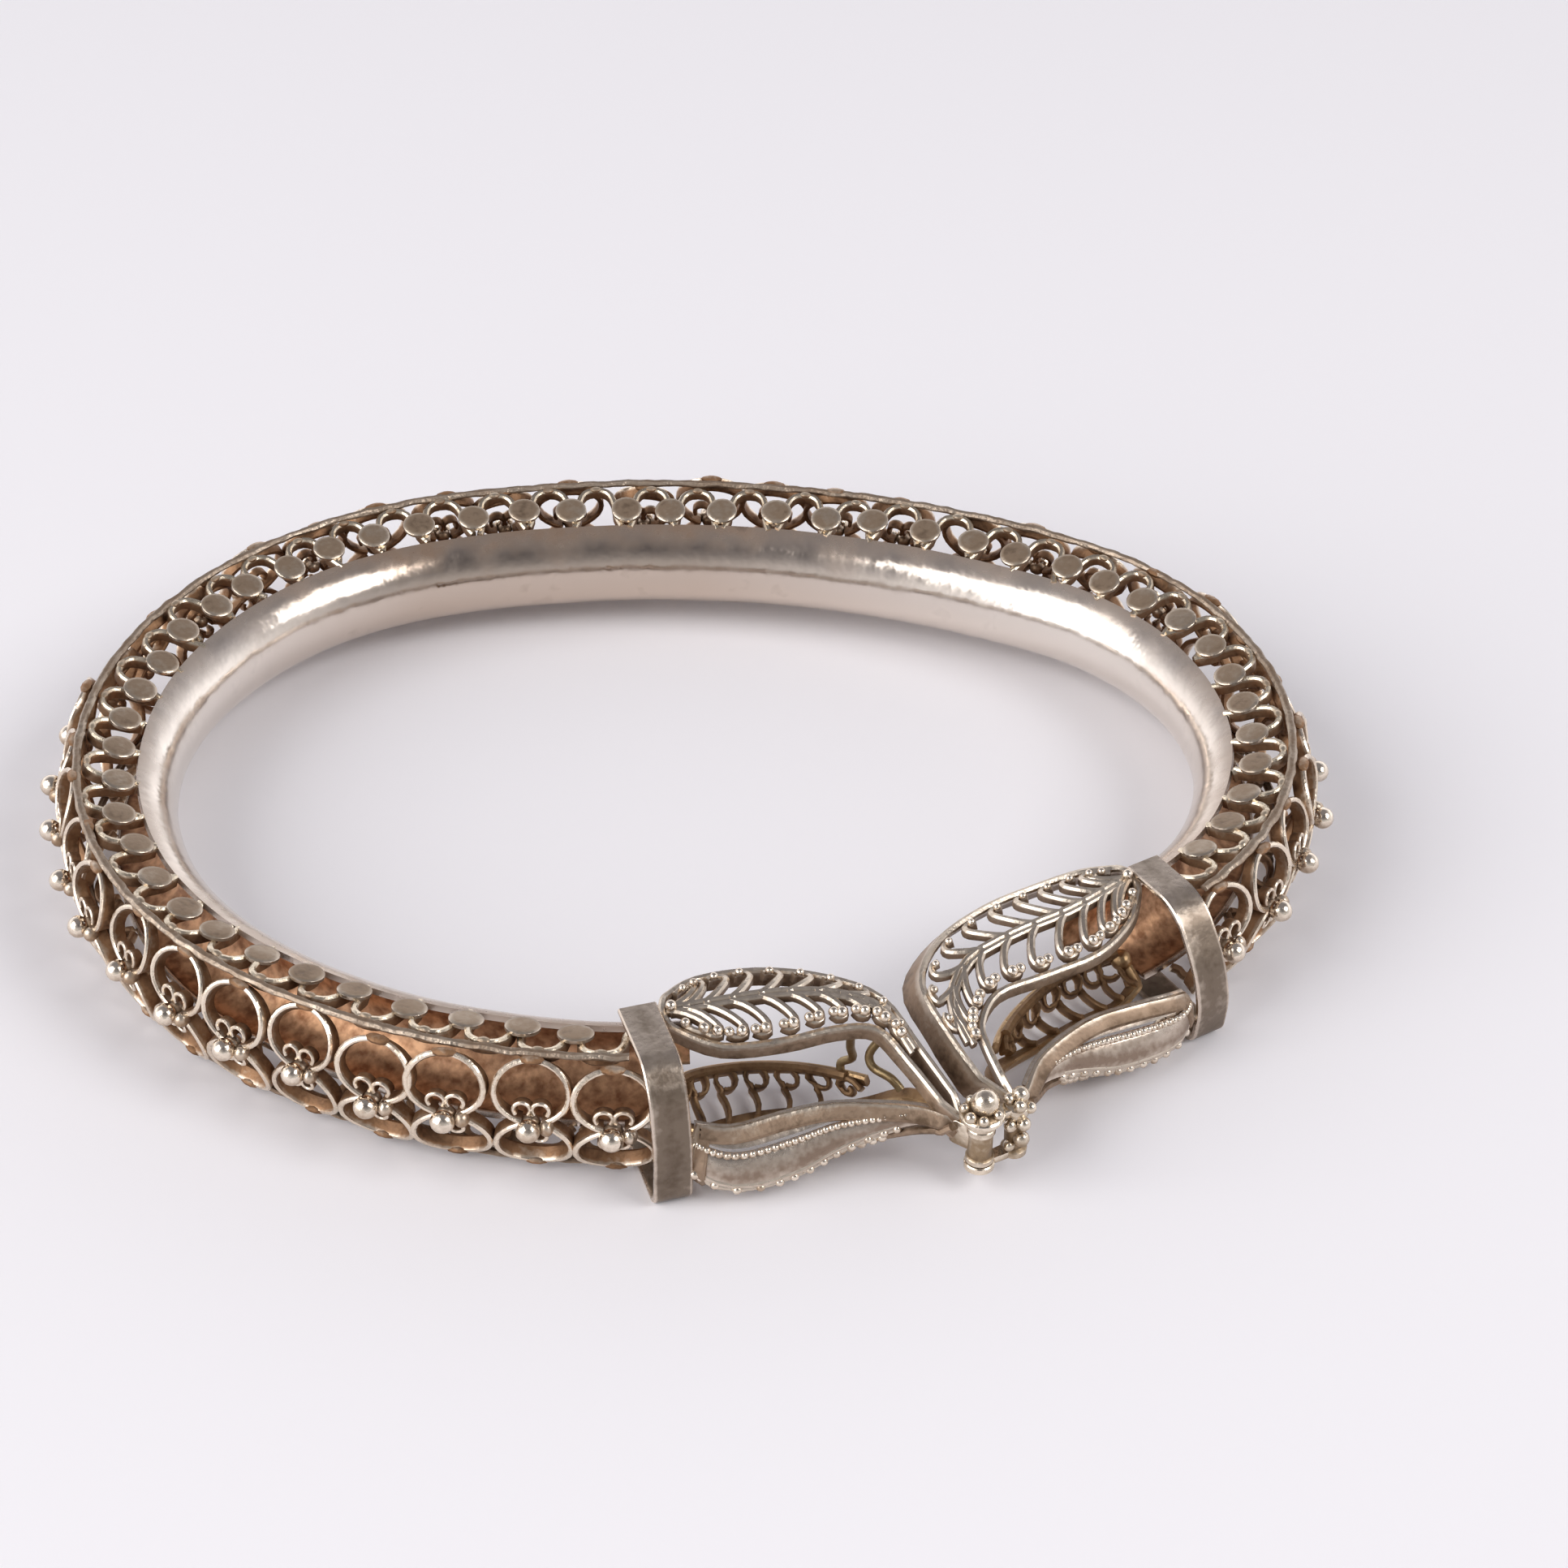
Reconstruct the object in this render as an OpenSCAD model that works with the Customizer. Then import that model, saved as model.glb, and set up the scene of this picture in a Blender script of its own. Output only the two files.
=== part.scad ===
// Filigree arm ring: a half-round inner wall, openwork galleries and an openwork outer band between
// two rails, closed at the front by two lantern finials of three petals each and a headed pin.
// Millimetres. Z is up, the ring lies on the plane z = 0, and the closure faces -Y.

/* [Plan outline, at the rails] */
// Radius of the right end of the oval
right_r = 25.8; // [25:0.1:27]
// Turn of the right end
right_turn = 113.5; // [112:0.5:115]
// Radius of the back
back_r = 68; // [65:1:70]
// Turn of the back
back_turn = 43.2; // [42:0.2:44]
// Radius of the left end of the oval
left_r = 31.2; // [30.5:0.1:32]
// Turn of the left end
left_turn = 126.7; // [125:0.1:128]
// Radius of the stretch before the left collar
front_r = 45; // [44:0.5:47]
// Turn of the stretch before the left collar
front_turn = 40; // [39.5:0.1:41]
// Heading of the rails where they leave the right collar
start_heading = 12.3; // [11:0.1:14]

/* [Tube] */
// Height of the tube over both rails
tube_h = 9.5; // [9.3:0.1:9.6]
// Height of the lower rail above the surface that the ring lies on
tube_lift = 0.5; // [0.5:0.05:0.7]
// Distance from the rail line in to the edges of the inner wall
band_w = 4.2; // [4.1:0.05:4.3]
// Radius of the inner wall's rounded section
wall_r = 3.7; // [3.65:0.05:3.9]
// Height of the inner wall's upper edge above the lower place where its section is as far out
wall_h = 7; // [6.8:0.1:7.1]
// Turn of the inner wall's section below its middle, so that it curls under the tube
wall_under = 105; // [98:1:108]
// Thickness of the inner wall's sheet
sheet_t = 0.45; // [0.4:0.05:0.5]
// How far the inner wall runs on past the middle of the right collar
right_tongue = 6.5; // [4:0.5:7]
// How far the inner wall runs on past the middle of the left collar
left_tongue = 2.6; // [2:0.1:3]

/* [Filigree] */
// Thickness of the two galleries
gallery_t = 0.45; // [0.4:0.05:0.5]
// Width of a rail of two flattened wires
rail_w = 1; // [0.8:0.1:1.1]
// Thickness of a rail
rail_t = 0.5; // [0.4:0.05:0.5]
// Thickness of the outer band
band_t = 0.5; // [0.4:0.05:0.6]
// How far the outer band bulges past the rail line
band_bulge = 1.4; // [1.2:0.05:1.5]
// Number of granules along the outer band
granule_count = 39; // [30:1:40]
// Radius of a granule on the outer band
granule_r = 0.78; // [0.6:0.02:0.8]

/* [Collars] */
// Thickness of a collar's strip
collar_t = 0.45; // [0.4:0.05:0.5]
// Width of a collar's strip
collar_w = 2.6; // [2.4:0.1:2.7]
// Heading of the right collar
right_collar_heading = 4.5; // [4:0.5:7]
// Heading of the left collar
left_collar_heading = -10; // [-12:0.5:-8]

/* [Petals] */
// Thickness of a petal
petal_t = 0.5; // [0.4:0.05:0.6]
// Fullness of a petal's cross-section, where 1 is a sine and less is rounder
petal_round = 0.8; // [0.6:0.05:1]
// Radius of a brace wire
brace_r = 0.3; // [0.2:0.01:0.32]

/* [Clasp] */
// Radius of the closing pin's shaft
pin_r = 0.45; // [0.4:0.01:0.48]
// Radial clearance of the closing pin in its bores
pin_play = 0.05; // [0.03:0.01:0.1]
// Radius of the closing pin's head
head_r = 1.5; // [1.2:0.05:1.5]
// Thickness of the closing pin's head
head_t = 0.5; // [0.4:0.05:0.6]
// Outer radius of the left knuckle's tube
tube_r = 0.95; // [0.9:0.01:1]
// Outer radius of the right knuckle's eyes
eye_r = 1.02; // [0.95:0.01:1.1]
// Thickness of the right knuckle's eyes
eye_t = 0.6; // [0.5:0.05:0.65]
// Radius of the right knuckle's post
post_r = 0.9; // [0.8:0.05:0.95]
// Height of the left knuckle's tube
tube_len = 3; // [2.8:0.1:3.2]

/* [Hidden] */

$fn = 64;
gap = 0.05;
// Hairline between one arc of the outline and the next
seam = 0.04;
rail_round = rail_t / 2 - 0.02;
// The wires end at the collars, which stand askew to them. Lengths are from the middle of each collar.
rail_trim = 1.8;
gallery_trim = 2.8;
band_trim = 1.9;
centre = [-3.54, 0.26];
mid_z = tube_lift + tube_h / 2;
top_z = tube_lift + tube_h;
play_r = pin_r + pin_play;
// Turn of the wall's section above its middle, and how far out the middle of its curve is
wall_over = asin(wall_h / 2 / wall_r);
wall_c = -band_w + wall_r * cos(wall_over);

// The rail line is a chain of tangent arcs, anticlockwise from the right collar to the left one.
// Columns: radius, turn
arcs = [[right_r, right_turn], [back_r, back_turn], [left_r, left_turn], [front_r, front_turn]];
last = len(arcs) - 1;
start = [18.24, -29.9];

// Outline of each collar, round the tube. Heights are from the underside of the tube.
// Columns: distance outside the rail line, height, corner radius
right_collar_shape = [[-9, -0.5, 1], [3.9, -0.5, 0.8], [4.3, 2.8, 1.5], [3.5, 5.6, 3], [0.6, 9.5, 1.2],
                      [-9, 9.1, 1]];
left_collar_shape = [[-9, -0.5, 1], [3.7, -0.5, 0.6], [3.9, 4, 3], [2.7, 8.2, 2], [1, 9.9, 0.9], [-9, 9.5, 1]];
collar_end = 4.8;

// Corners of the places where the wall's tongues are cut off, and the height up to which they are
right_cut = [8.8, -29];
left_cut = [-19.1, -29];
cut_z = 2.95;
cut_size = 8;

// A petal is a row of sections from the collar to the clasp. Its two rims are a and b, and its middle
// stands out by the crown. Heights are from the underside of the tube.
// Columns: ax, ay, az, bx, by, bz, crown
left_top = [
    [-17.9, -25.2, 8.5, -17.2, -22.7, 8.9, 0.3],
    [-15.6, -27.7, 8.0, -14.6, -21.8, 8.7, 0.9],
    [-11.9, -29.2, 8.2, -10.6, -22.8, 8.7, 1.1],
    [-8.4, -29.9, 8.4, -7.0, -25.4, 8.8, 0.9],
    [-5.9, -31.0, 8.2, -4.4, -28.7, 8.5, 0.5],
    [-4.9, -33.6, 7.0, -3.7, -32.8, 7.1, 0.2],
    [-4.2, -36.8, 5.8, -3.1, -36.4, 5.7, 0.1]];
left_outer = [
    [-18.6, -29.6, 0.3, -18.8, -30.4, 4.6, 2.3],
    [-16.5, -30.1, -0.3, -16.8, -31.6, 4.5, 3.3],
    [-13.0, -30.7, -0.1, -13.4, -32.1, 4.7, 3.4],
    [-9.8, -31.8, 0.7, -10.2, -32.8, 4.8, 2.6],
    [-6.9, -33.6, 2.0, -7.2, -34.3, 4.8, 1.5],
    [-5.0, -35.3, 2.8, -5.2, -35.6, 4.8, 0.8],
    [-3.8, -36.7, 3.0, -3.9, -37.0, 4.8, 0.4]];
left_inner = [
    [-18.0, -24.2, 2.6, -18.7, -27.0, 1.0, 0.4],
    [-15.6, -23.4, 2.2, -16.1, -27.6, 0.1, 1.2],
    [-12.2, -24.0, 2.0, -12.6, -28.1, 0.1, 1.4],
    [-9.0, -25.8, 2.1, -9.2, -29.3, 0.3, 1.2],
    [-6.4, -28.8, 2.6, -6.6, -31.1, 1.3, 0.6],
    [-4.8, -32.2, 3.4, -4.9, -33.0, 2.7, 0.2],
    [-3.3, -35.6, 4.1, -3.5, -36.1, 3.5, 0.1]];
right_top = [
    [16.4, -27.0, 8.6, 16.1, -24.6, 8.9, 0.3],
    [14.3, -29.2, 8.3, 13.9, -23.6, 8.6, 0.7],
    [10.9, -30.8, 8.1, 10.4, -23.5, 8.5, 0.9],
    [6.6, -31.1, 8.1, 6.2, -24.0, 8.6, 0.9],
    [2.9, -31.3, 8.1, 1.8, -25.5, 8.5, 0.7],
    [0.8, -32.9, 7.5, -1.2, -28.6, 8.3, 0.4],
    [0.4, -34.6, 6.8, -1.4, -32.9, 7.2, 0.2],
    [0.4, -36.6, 5.8, -0.9, -36.0, 6.0, 0.1]];
right_outer = [
    [16.4, -31.3, 1.2, 16.4, -33.3, 4.4, 1.4],
    [14.9, -31.6, -0.1, 15.0, -33.7, 4.9, 2.6],
    [12.0, -31.9, -0.1, 12.2, -33.5, 5.0, 3.1],
    [8.8, -32.3, 0.2, 9.0, -33.6, 5.2, 2.9],
    [5.8, -33.6, 1.4, 6.0, -34.4, 5.2, 1.9],
    [3.5, -35.1, 2.6, 3.7, -35.4, 5.0, 1.2],
    [1.7, -36.8, 3.2, 1.8, -37.1, 4.8, 0.4]];
right_inner = [
    [16.0, -25.6, 2.3, 16.3, -28.6, 1.1, 0.4],
    [14.0, -25.2, 1.9, 14.3, -29.1, 0.3, 1.2],
    [10.8, -25.6, 1.8, 11.0, -29.4, 0.3, 1.4],
    [7.2, -27.3, 1.9, 7.2, -30.4, 0.5, 1.2],
    [4.2, -29.8, 2.5, 4.2, -31.9, 1.5, 0.6],
    [2.0, -33.1, 3.5, 2.1, -33.8, 2.9, 0.2],
    [0.8, -35.7, 4.2, 1.0, -36.2, 3.6, 0.1]];
petal_steps = 3;
petal_cells = 8;

// The brace wires hold the left finial's upper and inner petals apart.
near_brace_path = [[-7.3, -29.6, 7.4], [-7.1, -29.5, 6.8], [-6.8, -29.0, 5.2], [-6.4, -28.6, 3.8], [-6.9, -28.0, 3.1]];
far_brace_path = [[-5.3, -30.3, 7.2], [-5.2, -30.2, 6.4], [-5.9, -30.0, 5.1], [-5.9, -30.5, 4.3], [-5.2, -31.7, 4.0]];
brace_sides = 8;

// The clasp stands on the pin's axis and on the right knuckle's post. Heights are from the tube's underside.
pin_xy = [-2.5, -38.9];
post_xy = [0.2, -38.7];
lower_eye_z = 1.1;
tube_z = lower_eye_z + eye_t + gap;
upper_eye_z = tube_z + tube_len + gap;
head_z = upper_eye_z + eye_t + gap;
left_lug = [-3.4, -37.3];
right_lug = [0.9, -37.2];
lug_r = 0.45;

function along(p, heading, r, turn) =
    p + r * [sin(heading + turn) - sin(heading), cos(heading) - cos(heading + turn)];
function arc_heading(i) = i == 0 ? start_heading : arc_heading(i - 1) + arcs[i - 1][1];
function arc_start(i) =
    i == 0 ? start : along(arc_start(i - 1), arc_heading(i - 1), arcs[i - 1][0], arcs[i - 1][1]);
function arc_len(i, out) = (arcs[i][0] + out) * arcs[i][1] * PI / 180;
function rail_len(out, i = 0) = i > last ? 0 : arc_len(i, out) + rail_len(out, i + 1);
function left_end() = along(arc_start(last), arc_heading(last), front_r, front_turn);

// Place and heading at a distance along the line that runs outside the rails by out
function on_rail(dist, out, i = 0) =
    dist > arc_len(i, out) && i < last
        ? on_rail(dist - arc_len(i, out), out, i + 1)
        : let (turn = dist / (arcs[i][0] + out) * 180 / PI,
               heading = arc_heading(i) + turn)
          concat(along(arc_start(i), arc_heading(i), arcs[i][0], turn)
                 + out * [sin(heading), -cos(heading)], heading);

// Points of a circular arc
function arc_points(c, r, from, to, steps) =
    [for (k = [0:steps]) c + r * [cos(from + (to - from) * k / steps), sin(from + (to - from) * k / steps)]];

function turned(v) = [-v[1], v[0]];
function pair(row) = [row[0], row[1]];

// Anticlockwise outline through rows of x, y and corner radius, moved inwards by a distance. Each corner
// is an arc between its two sides.
function rounded(rows, inset = 0, steps = 8) =
    let (n = len(rows))
    [for (i = [0:n - 1])
        let (q = pair(rows[i]),
             u = unit(q - pair(rows[(i + n - 1) % n])),
             v = unit(pair(rows[(i + 1) % n]) - q),
             bend = acos(u * v),
             r = max(rows[i][2] - inset, 0.05),
             corner = q + inset * (turned(u) + turned(v)) / (1 + u * v),
             c = corner - u * r * tan(bend / 2) + turned(u) * r,
             from = atan2(u[1], u[0]) - 90)
        each arc_points(c, r, from, from + bend, steps)];

// Smooth curve through the rows of a table, at the row number s
function row_at(rows, s) =
    let (n = len(rows) - 1, i = min(floor(s), n - 1), f = s - i,
         p0 = rows[max(i - 1, 0)], p1 = rows[i], p2 = rows[i + 1], p3 = rows[min(i + 2, n)])
    0.5 * (2 * p1 + (p2 - p0) * f + (2 * p0 - 5 * p1 + 4 * p2 - p3) * f * f
           + (3 * p1 - p0 - 3 * p2 + p3) * f * f * f);
function rim_a(row) = [row[0], row[1], row[2]];
function rim_b(row) = [row[3], row[4], row[5]];
function middle(row) = (rim_a(row) + rim_b(row)) / 2;
function unit(v) = v / norm(v);

function outward(rows, s, side) =
    let (n = len(rows) - 1, before = row_at(rows, max(s - 0.1, 0)), after = row_at(rows, min(s + 0.1, n)),
         row = row_at(rows, s))
    side * unit(cross(middle(after) - middle(before), rim_b(row) - rim_a(row)));

function petal_point(rows, s, t, side, depth) =
    let (row = row_at(rows, s), swell = row[6] * pow(sin(180 * t), petal_round))
    rim_a(row) * (1 - t) + rim_b(row) * t + (swell - depth) * outward(rows, s, side) + [0, 0, tube_lift];

function petal_grid(rows, side, depth) =
    let (n = (len(rows) - 1) * petal_steps)
    [for (i = [0:n], j = [0:petal_cells])
        petal_point(rows, i / petal_steps, j / petal_cells, side, depth)];

// Ring of points round a path, square to it
function tube_ring(path, i, r, sides) =
    let (n = len(path) - 1, t = unit(path[min(i + 1, n)] - path[max(i - 1, 0)]),
         u = unit(cross(t, [1, 0, 0])), v = cross(t, u))
    [for (k = [0:sides - 1])
        path[i] + r * (cos(360 * k / sides) * u + sin(360 * k / sides) * v) + [0, 0, tube_lift]];

// Sweeps a section along the rail line. In the section, x is the distance outside the rail line.
module sweep_rails(before = 0, after = 0)
    for (i = [0:last]) {
        r = arcs[i][0];
        extra_before = (i == 0 ? before : -seam / 2) / r * 180 / PI;
        extra_after = (i == last ? after : -seam / 2) / r * 180 / PI;
        h = arc_heading(i);
        translate(concat(arc_start(i) + r * [-sin(h), cos(h)], 0))
            rotate(h - 90 - extra_before)
                rotate_extrude(angle = arcs[i][1] + extra_before + extra_after)
                    translate([r, 0]) children();
    }

// Past each collar the wall is cut off below a height, to let the inner petal's rim pass.
module inner_wall() {
    c = [wall_c, mid_z];
    color("#9c8672") difference() {
        sweep_rails(right_tongue, left_tongue)
            polygon(concat(arc_points(c, wall_r, 180 - wall_over, 180 + wall_under, 18),
                           arc_points(c, wall_r - sheet_t, 180 + wall_under, 180 - wall_over, 18)));
        for (at = [right_cut, left_cut])
            translate([at[0], at[1], tube_lift + cut_z]) mirror([0, 0, 1]) cube([cut_size, cut_size, cut_size]);
    }
}

// Section of the upper gallery, from a rail to the edge of the wall. The edge's height is from mid-height.
module gallery_section(edge_out, edge_z) {
    inner = edge_out + 0.1;
    outer = -rail_w / 2 - gap;
    low = mid_z + edge_z + 0.1;
    high = top_z - 0.1;
    polygon([[inner, low - gallery_t], [outer, high - gallery_t], [outer, high], [inner, low]]);
}

module rail_section()
    polygon(rounded([[-rail_w / 2, top_z - rail_t, rail_round], [rail_w / 2, top_z - rail_t, rail_round],
                     [rail_w / 2, top_z, rail_round], [-rail_w / 2, top_z, rail_round]], 0, 4));

module mirror_to_bottom() translate([0, 2 * mid_z]) mirror([0, 1]) children();

module top_gallery() color("#8d857c")
    sweep_rails(-gallery_trim, -gallery_trim)
        gallery_section(wall_c - (wall_r - sheet_t) * cos(wall_over), wall_h / 2);

module bottom_gallery() color("#8d857c")
    sweep_rails(-gallery_trim, -gallery_trim) mirror_to_bottom()
        gallery_section(wall_c - wall_r * cos(wall_under), wall_r * sin(wall_under));

module top_rail() color("#a39d95") sweep_rails(-rail_trim, -rail_trim) rail_section();

module bottom_rail() color("#a39d95")
    sweep_rails(-rail_trim, -rail_trim) mirror_to_bottom() rail_section();

module outer_band() {
    half_h = tube_h / 2 - rail_t - gap;
    root = 0.35;
    rise = band_bulge - root;
    r = (half_h * half_h + rise * rise) / (2 * rise);
    c = [band_bulge - r, mid_z];
    half = asin(half_h / r);
    color("#968d84") sweep_rails(-band_trim, -band_trim)
        polygon(concat(arc_points(c, r, -half, half, 14), arc_points(c, r - band_t, half, -half, 14)));
}

module granules() {
    out = band_bulge + gap + granule_r;
    margin = band_trim + granule_r * 1.5;
    pitch = (rail_len(out) - 2 * margin) / (granule_count - 1);
    color("#b9b3aa") for (k = [0:granule_count - 1]) {
        p = on_rail(margin + k * pitch, out);
        translate([p[0], p[1], mid_z]) sphere(r = granule_r, $fn = 24);
    }
}

module collar(shape, at, heading)
    translate([at[0], at[1], tube_lift]) rotate([0, 0, heading - 90]) rotate([90, 0, 0])
        linear_extrude(collar_w, center = true) difference() {
            polygon(rounded(shape));
            polygon(rounded(shape, collar_t));
            translate([-collar_end - 10, -5]) square([10, 20]);
        }

module left_collar() color("#a8a199") collar(left_collar_shape, left_end(), left_collar_heading);

module right_collar() color("#a8a199") collar(right_collar_shape, start, right_collar_heading);

module petal(rows, side) {
    n = (len(rows) - 1) * petal_steps;
    w = petal_cells + 1;
    back = (n + 1) * w;
    outer = petal_grid(rows, side, 0);
    inner = petal_grid(rows, side, petal_t);
    quads = concat(
        [for (i = [0:n - 1], j = [0:w - 2]) [i * w + j, (i + 1) * w + j, (i + 1) * w + j + 1, i * w + j + 1]],
        [for (i = [0:n - 1], j = [0:w - 2])
            [back + i * w + j, back + i * w + j + 1, back + (i + 1) * w + j + 1, back + (i + 1) * w + j]],
        [for (i = [0:n - 1]) [i * w, back + i * w, back + (i + 1) * w, (i + 1) * w]],
        [for (i = [0:n - 1])
            [i * w + w - 1, (i + 1) * w + w - 1, back + (i + 1) * w + w - 1, back + i * w + w - 1]],
        [for (j = [0:w - 2]) [j, j + 1, back + j + 1, back + j]],
        [for (j = [0:w - 2]) [n * w + j, back + n * w + j, back + n * w + j + 1, n * w + j + 1]]);
    turned = side > 0 ? [for (q = quads) [q[3], q[2], q[1], q[0]]] : quads;
    polyhedron(concat(outer, inner),
               [for (q = turned, half = [0, 1]) half == 0 ? [q[0], q[1], q[2]] : [q[0], q[2], q[3]]]);
}

module left_top_petal() color("#b0a89c") petal(left_top, 1);

module left_outer_petal() color("#b0a89c") petal(left_outer, 1);

module left_inner_petal() color("#8a6f55") petal(left_inner, 1);

module right_top_petal() color("#b0a89c") petal(right_top, -1);

module right_outer_petal() color("#b0a89c") petal(right_outer, -1);

module right_inner_petal() color("#8a6f55") petal(right_inner, -1);

module brace(path) {
    n = len(path);
    s = brace_sides;
    points = [for (i = [0:n - 1]) each tube_ring(path, i, brace_r, s)];
    walls = [for (i = [0:n - 2], k = [0:s - 1], half = [0, 1])
        let (a = i * s + k, b = i * s + (k + 1) % s)
        half == 0 ? [a, a + s, b + s] : [a, b + s, b]];
    polyhedron(points, concat([[for (k = [0:s - 1]) k]], walls,
                              [[for (k = [0:s - 1]) n * s - 1 - k]]));
}

module near_brace() color("#8a6f45") brace(near_brace_path);

module far_brace() color("#8a6f45") brace(far_brace_path);

module post(at, r, z, h) translate([at[0], at[1], tube_lift + z]) cylinder(r = r, h = h);

// Flat plate with round ends, between two places
module link(a, ra, b, rb, z, h)
    translate([0, 0, tube_lift + z]) linear_extrude(h) hull() {
        translate(a) circle(ra);
        translate(b) circle(rb);
    }

module left_knuckle() color("#a9a298") difference() {
    union() {
        post(pin_xy, tube_r, tube_z, tube_len);
        link(pin_xy, lug_r * 1.4, left_lug, lug_r, tube_z + 0.8, tube_len - 1);
    }
    post(pin_xy, play_r, tube_z - 1, tube_len + 2);
}

module right_knuckle() color("#8b847b") difference() {
    union() {
        post(post_xy, post_r, lower_eye_z, head_z - lower_eye_z);
        link(pin_xy, eye_r, post_xy, lug_r * 1.4, lower_eye_z + gap, eye_t - gap);
        link(pin_xy, eye_r, post_xy, lug_r * 1.4, upper_eye_z, eye_t);
        link(post_xy, lug_r * 1.4, right_lug, lug_r, tube_z + 0.8, tube_len - 1);
        for (k = [0:2])
            translate([post_xy[0] + 0.5 * cos(120 * k + 50), post_xy[1] + 0.5 * sin(120 * k + 50),
                       tube_lift + head_z + 0.2])
                sphere(r = 0.4, $fn = 24);
    }
    post(pin_xy, play_r, lower_eye_z - 1, head_z + 1);
}

module closing_pin() color("#b4ada3") {
    post(pin_xy, pin_r, lower_eye_z - 0.3, head_z - lower_eye_z + 0.4);
    post(pin_xy, head_r, head_z, head_t);
    translate([pin_xy[0], pin_xy[1], tube_lift + head_z + head_t + 0.2]) sphere(r = 0.6, $fn = 24);
    for (k = [0:4])
        translate([pin_xy[0] + (head_r - 0.4) * cos(72 * k), pin_xy[1] + (head_r - 0.4) * sin(72 * k),
                   tube_lift + head_z + head_t + 0.1])
            sphere(r = 0.4, $fn = 24);
}

module place() translate([-centre[0], -centre[1], 0]) children();

place() inner_wall();
place() top_gallery();
place() bottom_gallery();
place() top_rail();
place() bottom_rail();
place() outer_band();
place() granules();
place() left_collar();
place() right_collar();
place() left_top_petal();
place() left_outer_petal();
place() left_inner_petal();
place() right_top_petal();
place() right_outer_petal();
place() right_inner_petal();
place() near_brace();
place() far_brace();
place() left_knuckle();
place() right_knuckle();
place() closing_pin();
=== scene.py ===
"""Looks of the filigree arm ring: openwork loops, galleries of discs, leaf ends, clasp and studio.

Lengths are in millimetres until a mesh is made, and heights stand over the surface the ring lies on.
"""

import logging
import math
from dataclasses import dataclass, field
from enum import Enum

import bmesh
import bpy
import numpy as np
from mathutils import Matrix, Vector


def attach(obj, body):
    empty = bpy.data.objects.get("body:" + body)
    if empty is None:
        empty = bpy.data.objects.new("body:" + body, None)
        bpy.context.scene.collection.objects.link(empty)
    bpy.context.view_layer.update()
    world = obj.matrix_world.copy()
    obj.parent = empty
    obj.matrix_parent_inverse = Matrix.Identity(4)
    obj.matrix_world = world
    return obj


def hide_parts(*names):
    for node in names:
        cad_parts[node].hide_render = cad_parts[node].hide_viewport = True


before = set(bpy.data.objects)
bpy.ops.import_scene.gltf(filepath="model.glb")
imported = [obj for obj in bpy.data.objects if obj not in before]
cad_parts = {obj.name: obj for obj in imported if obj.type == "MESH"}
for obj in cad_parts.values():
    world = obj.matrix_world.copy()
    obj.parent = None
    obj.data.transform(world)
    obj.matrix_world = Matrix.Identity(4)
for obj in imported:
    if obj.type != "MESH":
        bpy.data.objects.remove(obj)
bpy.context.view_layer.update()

log = logging.getLogger("arm_ring")
MM = 0.001
TAU = 2 * math.pi
SHARP = math.radians(42)
TOP_WEAR = 0.35
Point = tuple[float, float, float]
Plan = tuple[float, float]
Array = np.ndarray
Object, Tree, Node, Socket = bpy.types.Object, bpy.types.NodeTree, bpy.types.Node, bpy.types.NodeSocket


# ---------------------------------------------------------------- finishes


@dataclass(frozen=True)
class Finish:
    """One metal finish: its colours, how worn it is, and how rough.

    Colours are linear. Worn metal shows on edges, tarnish lies on faces, and soot sits in hollows.
    """

    name: str
    worn: Point
    tarnish: Point
    soot: Point
    wear_bias: float
    rough_worn: float
    rough_dull: float
    patch_scale: float
    speck_scale: float
    bump_height: float

    def inputs(self) -> dict[str, object]:
        """Turns the fields into values for the tarnish group.

        Returns:
            The values, by the names of the group's inputs.
        """
        rows = {key.replace("_", " ").title(): value for key, value in vars(self).items()}
        return {key: (*value, 1) if isinstance(value, tuple) else value
                for key, value in rows.items() if key not in ("Name", "Bump Height")}


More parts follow.
